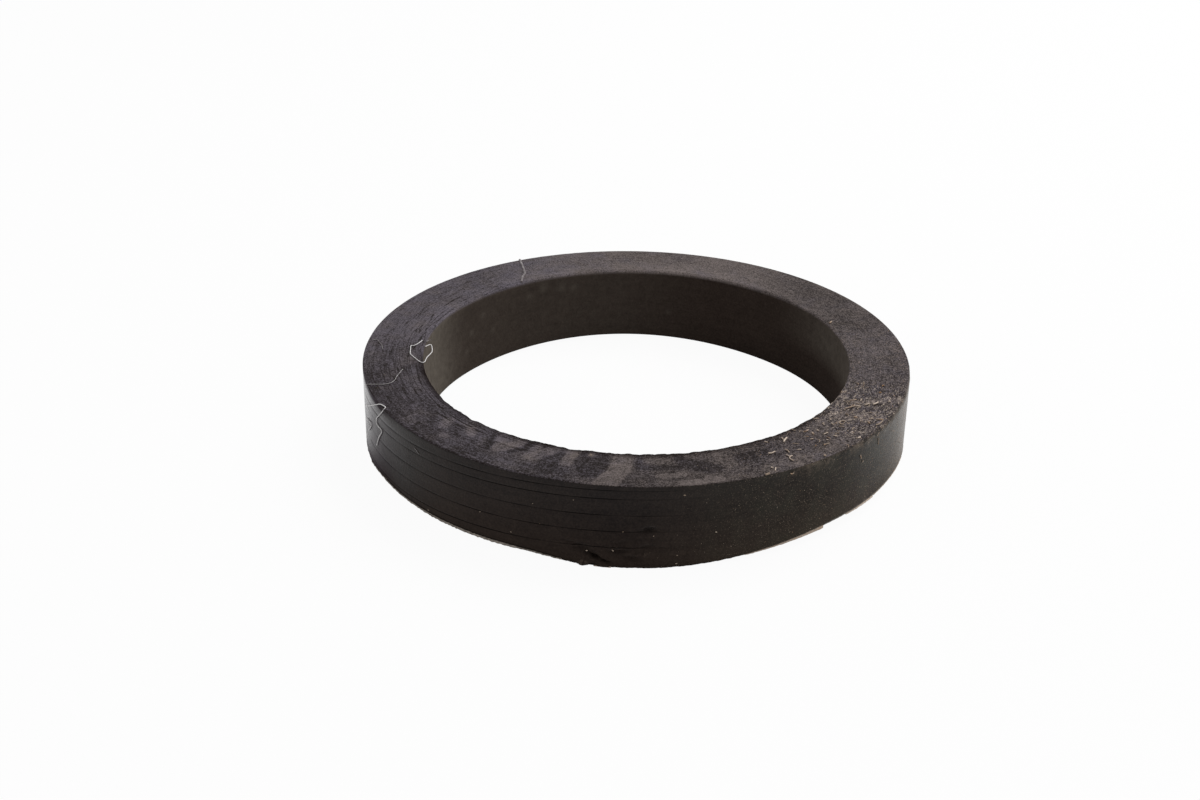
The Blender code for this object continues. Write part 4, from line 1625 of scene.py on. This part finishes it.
# Settings, operators and panel

def length_setting(name, description, default_mm):
    """A length that can be set in the panel."""
    return bpy.props.FloatProperty(
        name=name, description=description, default=default_mm * MM, min=0.0, unit="LENGTH",
        precision=6)


def colour_setting(name, description, default_hex):
    """A colour that can be set in the panel."""
    return bpy.props.FloatVectorProperty(
        name=name, description=description, default=linear(default_hex), min=0.0, max=1.0,
        subtype="COLOR")


class RingSizes(bpy.types.PropertyGroup):
    line_depth: length_setting("Line depth", "Depth of the knife lines round the outer wall", 0.01)
    line_width: length_setting("Line width", "Width of the knife lines", 0.11)
    grain_depth: length_setting("Grain depth", "Relief of the cut top face", 0.030)
    wall_grain_depth: length_setting("Wall grain depth", "Slow waves of the outer wall", 0.030)
    scoring_depth: length_setting(
        "Scoring depth", "Depth of the cut marks round the top face", 0.030)
    crust_depth: length_setting(
        "Crust depth", "Relief of the rough, crusted stretch of the top", 0.13)
    ragged_depth: length_setting("Ragged depth", "Unevenness of the worn lower edge", 0.16)
    tooth_depth: length_setting("Tooth depth", "Unevenness of the bore's top edge", 0.42)
    seed: bpy.props.FloatProperty(
        name="Seed", description="Picks one pattern of relief", default=3.0)


class RingColours(bpy.types.PropertyGroup):
    rubber: colour_setting("Rubber", "Colour of the bare black rubber", "#191210")
    # The slit colour is painted shade, laid in the knife lines, the tears, the rim crease and the
    # crust crevices
    slit: colour_setting("Slit", "Colour inside the knife lines", "#070606")
    # The wall bloom colour also paints the light on the outer wall's foot, and the top bloom colour
    # the sheen at the back of the top
    wall_bloom: colour_setting(
        "Wall bloom", "Grey film on the outer wall and the bore", "#453b35")
    top_bloom: colour_setting("Top bloom", "Grey film on the cut top face", "#877c79")
    violet_bloom: colour_setting(
        "Violet bloom", "Cooler film on the left of the top face", "#7d767f")
    # This colour is a painted sheen: the violet-grey tint of the far left wall's glancing shine
    haze: colour_setting("Haze", "Violet-grey haze on the far left wall", "#8f7d95")
    olive_film: colour_setting("Olive film", "Dull film in patches on the dusty wall", "#4f5245")
    frayed_rim: colour_setting("Frayed rim", "Greyed rubber of the worn lower rim", "#b3a99f")
    # The bore film colour is partly painted light, where it makes the bore's lit parts paler
    bore_film: colour_setting(
        "Bore film", "Dry brown film on the ends of the bore's far wall", "#665f57")
    # The dust colour also paints the warm sheen of the far right wall and the highlight on the torn
    # wall's proud rubber
    dust: colour_setting("Dust", "Tan dust that lies along one side", "#9e8c7b")
    rust_dust: colour_setting("Rusty dust", "Orange-tan crumbs among the dust", "#a87f55")
    fleck: colour_setting("Fleck", "Pale flecks of dried dirt", "#dccbbb")
    lint: colour_setting("Lint", "Clean cotton lint", "#efeceb")
    soiled_lint: colour_setting(
        "Soiled lint", "Lint that has taken up the ring's black", "#6f6768")


class DirtAmounts(bpy.types.PropertyGroup):
    density: bpy.props.FloatProperty(
        name="Fleck density", description="Most flecks on a square metre", default=30.0e6, min=0.0)
    smallest: length_setting("Smallest fleck", "Half width of the smallest fleck", 0.020)
    largest: length_setting("Largest fleck", "Half width of the largest fleck", 0.095)
    crumb_density: bpy.props.FloatProperty(
        name="Crumb density", description="Most rubber crumbs on a square metre of the lower rim",
        default=50.0e6, min=0.0)
    smallest_crumb: length_setting(
        "Smallest crumb", "Half width of the smallest rubber crumb", 0.08)
    largest_crumb: length_setting("Largest crumb", "Half width of the largest rubber crumb", 0.26)
    seed: bpy.props.IntProperty(
        name="Seed", description="Picks one scatter of flecks", default=4)


class StageLook(bpy.types.PropertyGroup):
    floor: colour_setting("Floor", "Colour of the plain floor", "#efefef")
    key_power: bpy.props.FloatProperty(
        name="Key light", description="Power of the soft key light", default=0.9, min=0.0,
        unit="POWER")
    sky_level: bpy.props.FloatProperty(
        name="Sky level", description="How strongly the surroundings light matt surfaces",
        default=0.40, min=0.0, max=1.0, subtype="FACTOR")


class SEALING_RING_OT_worn_ring(bpy.types.Operator):
    """Make the worn ring with its knife lines, tears and rough top"""
    bl_idname = "sealing_ring.worn_ring"
    bl_label = "Worn Ring"

    def execute(self, context):
        sizes = context.scene.ring_sizes
        section = section_loop(sizes.line_width)
        ring = station_loop()
        grow(ring, ring_tree(), {
            "Section": section, "Line depth": sizes.line_depth, "Grain depth": sizes.grain_depth,
            "Wall grain depth": sizes.wall_grain_depth, "Scoring depth": sizes.scoring_depth,
            "Crust depth": sizes.crust_depth, "Ragged depth": sizes.ragged_depth,
            "Tooth depth": sizes.tooth_depth, "Seed": sizes.seed,
            "Material": knife_cut_rubber(context.scene.ring_colours)})
        bpy.data.objects.remove(section)
        mark_looks(ring.data)
        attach(ring, BODY)
        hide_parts(RING_NODE)
        return {"FINISHED"}


class SEALING_RING_OT_dust_flecks(bpy.types.Operator):
    """Scatter fine tan flecks over the dusty side of the ring"""
    bl_idname = "sealing_ring.dust_flecks"
    bl_label = "Dust Flecks"

    def execute(self, context):
        amounts = context.scene.dirt_amounts
        flecks = new_object("dust_flecks", [])
        grow(flecks, scatter_tree("dust_flecks", "fleck_share"), {
            "Surface": bpy.data.objects["worn_ring"], "Density": amounts.density,
            "Smallest": amounts.smallest, "Largest": amounts.largest, "Palest": 1.0,
            "Seed": amounts.seed, "Material": shared(dried_dirt)})
        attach(flecks, BODY)
        return {"FINISHED"}


class SEALING_RING_OT_rim_crumbs(bpy.types.Operator):
    """Set the crumbs of frayed rubber along the lower left rim"""
    bl_idname = "sealing_ring.rim_crumbs"
    bl_label = "Rim Crumbs"

    def execute(self, context):
        amounts = context.scene.dirt_amounts
        crumbs = new_object("rim_crumbs", [])
        grow(crumbs, scatter_tree("rim_crumbs", "crumb_share"), {
            "Surface": bpy.data.objects["worn_ring"], "Density": amounts.crumb_density,
            "Smallest": amounts.smallest_crumb, "Largest": amounts.largest_crumb, "Palest": 2.0,
            "Seed": amounts.seed, "Material": shared(frayed_rubber)})
        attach(crumbs, BODY)
        return {"FINISHED"}


class SEALING_RING_OT_rim_fringe(bpy.types.Operator):
    """Lay the frayed fringe of rubber along the lower left rim"""
    bl_idname = "sealing_ring.rim_fringe"
    bl_label = "Rim Fringe"

    def execute(self, context):
        lines = [rim_lip_line(FRINGE_TURN, *fringe) for fringe in RIM_FRINGES]
        material = shared(frayed_rubber)
        fringe = make_fibres("rim_fringe", lines, material, RIM_RAGGEDNESS)
        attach(fringe, BODY)
        return {"FINISHED"}


class SEALING_RING_OT_rim_lips(bpy.types.Operator):
    """Lay the thin lips of rubber that the knife left along the lower right rim"""
    bl_idname = "sealing_ring.rim_lips"
    bl_label = "Rim Lips"

    def execute(self, context):
        lines = [rim_lip_line(LIP_TURN, *lip) for lip in RIM_LIPS]
        material = shared(dried_dirt)
        lips = make_fibres("rim_lips", lines, material, RIM_RAGGEDNESS / 2)
        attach(lips, BODY)
        return {"FINISHED"}


class SEALING_RING_OT_dirt_specks(bpy.types.Operator):
    """Set the single pale specks of dried dirt on the ring's faces"""
    bl_idname = "sealing_ring.dirt_specks"
    bl_label = "Dirt Specks"

    def execute(self, context):
        specks = new_object("dirt_specks", [place_of(*place) for place, _, _ in DIRT_SPECKS])
        mark(specks.data, "facing", [normal_of(*place) for place, _, _ in DIRT_SPECKS])
        mark(specks.data, "speck_size", [size for _, size, _ in DIRT_SPECKS])
        mark(specks.data, "paleness", [paleness for _, _, paleness in DIRT_SPECKS])
        grow(specks, speck_tree(), {
            "Seed": context.scene.dirt_amounts.seed,
            "Material": shared(dried_dirt)})
        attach(specks, BODY)
        return {"FINISHED"}


class SEALING_RING_OT_lint_hairs(bpy.types.Operator):
    """Lay the long lint hairs over the ring's left and back"""
    bl_idname = "sealing_ring.lint_hairs"
    bl_label = "Lint Hairs"

    def execute(self, context):
        lines = [(thickness, brightness, hair_line(thickness, places))
                 for thickness, brightness, places in LINT_HAIRS]
        hairs = make_fibres("lint_hairs", lines, shared(cotton_lint))
        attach(hairs, BODY)
        return {"FINISHED"}


class SEALING_RING_OT_curled_fibres(bpy.types.Operator):
    """Strew short curled fibres over the rough stretch of the top"""
    bl_idname = "sealing_ring.curled_fibres"
    bl_label = "Curled Fibres"

    def execute(self, context):
        draw = random.Random(CURL_SEED)
        lines = [curl_line(draw) for _ in range(CURL_COUNT)]
        curls = make_fibres("curled_fibres", lines, shared(dried_dirt))
        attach(curls, BODY)
        return {"FINISHED"}


class SEALING_RING_OT_crust_flakes(bpy.types.Operator):
    """Lay the single flakes that stand out on the rough stretch"""
    bl_idname = "sealing_ring.crust_flakes"
    bl_label = "Crust Flakes"

    def execute(self, context):
        lines = flake_lines(on_top, TOP_FLAKES) + flake_lines(on_wall, WALL_FLAKES)
        flakes = make_fibres("crust_flakes", lines, shared(dried_dirt))
        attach(flakes, BODY)
        return {"FINISHED"}


class SEALING_RING_OT_stage(bpy.types.Operator):
    """Make the plain floor, the white surroundings, the soft light and the camera"""
    bl_idname = "sealing_ring.stage"
    bl_label = "Stage"

    def execute(self, context):
        look = context.scene.stage_look
        make_floor(look)
        make_surroundings(look)
        make_key_light(look)
        make_camera()
        context.scene.view_settings.view_transform = "Standard"
        return {"FINISHED"}


OPERATORS = (
    SEALING_RING_OT_worn_ring,
    SEALING_RING_OT_dust_flecks,
    SEALING_RING_OT_rim_crumbs,
    SEALING_RING_OT_rim_fringe,
    SEALING_RING_OT_rim_lips,
    SEALING_RING_OT_dirt_specks,
    SEALING_RING_OT_lint_hairs,
    SEALING_RING_OT_curled_fibres,
    SEALING_RING_OT_crust_flakes,
    SEALING_RING_OT_stage,
)
SETTINGS = {
    "ring_sizes": RingSizes,
    "ring_colours": RingColours,
    "dirt_amounts": DirtAmounts,
    "stage_look": StageLook,
}


class SEALING_RING_PT_panel(bpy.types.Panel):
    """Lists the ring's pieces and their settings"""
    bl_idname = "SEALING_RING_PT_panel"
    bl_label = "Sealing Ring"
    bl_space_type = "VIEW_3D"
    bl_region_type = "UI"
    bl_category = "Sealing Ring"

    def draw(self, context):
        for operator in OPERATORS:
            self.layout.operator(operator.bl_idname)
        for name, group in SETTINGS.items():
            box = self.layout.box()
            for setting in group.__annotations__:
                box.prop(getattr(context.scene, name), setting)


def register():
    for name, group in SETTINGS.items():
        bpy.utils.register_class(group)
        setattr(bpy.types.Scene, name, bpy.props.PointerProperty(type=group))
    for kind in (*OPERATORS, SEALING_RING_PT_panel):
        bpy.utils.register_class(kind)


def unregister():
    for kind in (SEALING_RING_PT_panel, *OPERATORS):
        bpy.utils.unregister_class(kind)
    for name, group in SETTINGS.items():
        delattr(bpy.types.Scene, name)
        bpy.utils.unregister_class(group)


def main():
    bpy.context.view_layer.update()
    register()
    bpy.ops.sealing_ring.worn_ring()
    bpy.ops.sealing_ring.dust_flecks()
    bpy.ops.sealing_ring.rim_crumbs()
    bpy.ops.sealing_ring.rim_fringe()
    bpy.ops.sealing_ring.rim_lips()
    bpy.ops.sealing_ring.dirt_specks()
    bpy.ops.sealing_ring.lint_hairs()
    bpy.ops.sealing_ring.curled_fibres()
    bpy.ops.sealing_ring.crust_flakes()
    bpy.ops.sealing_ring.stage()


if __name__ == "__main__":
    main()
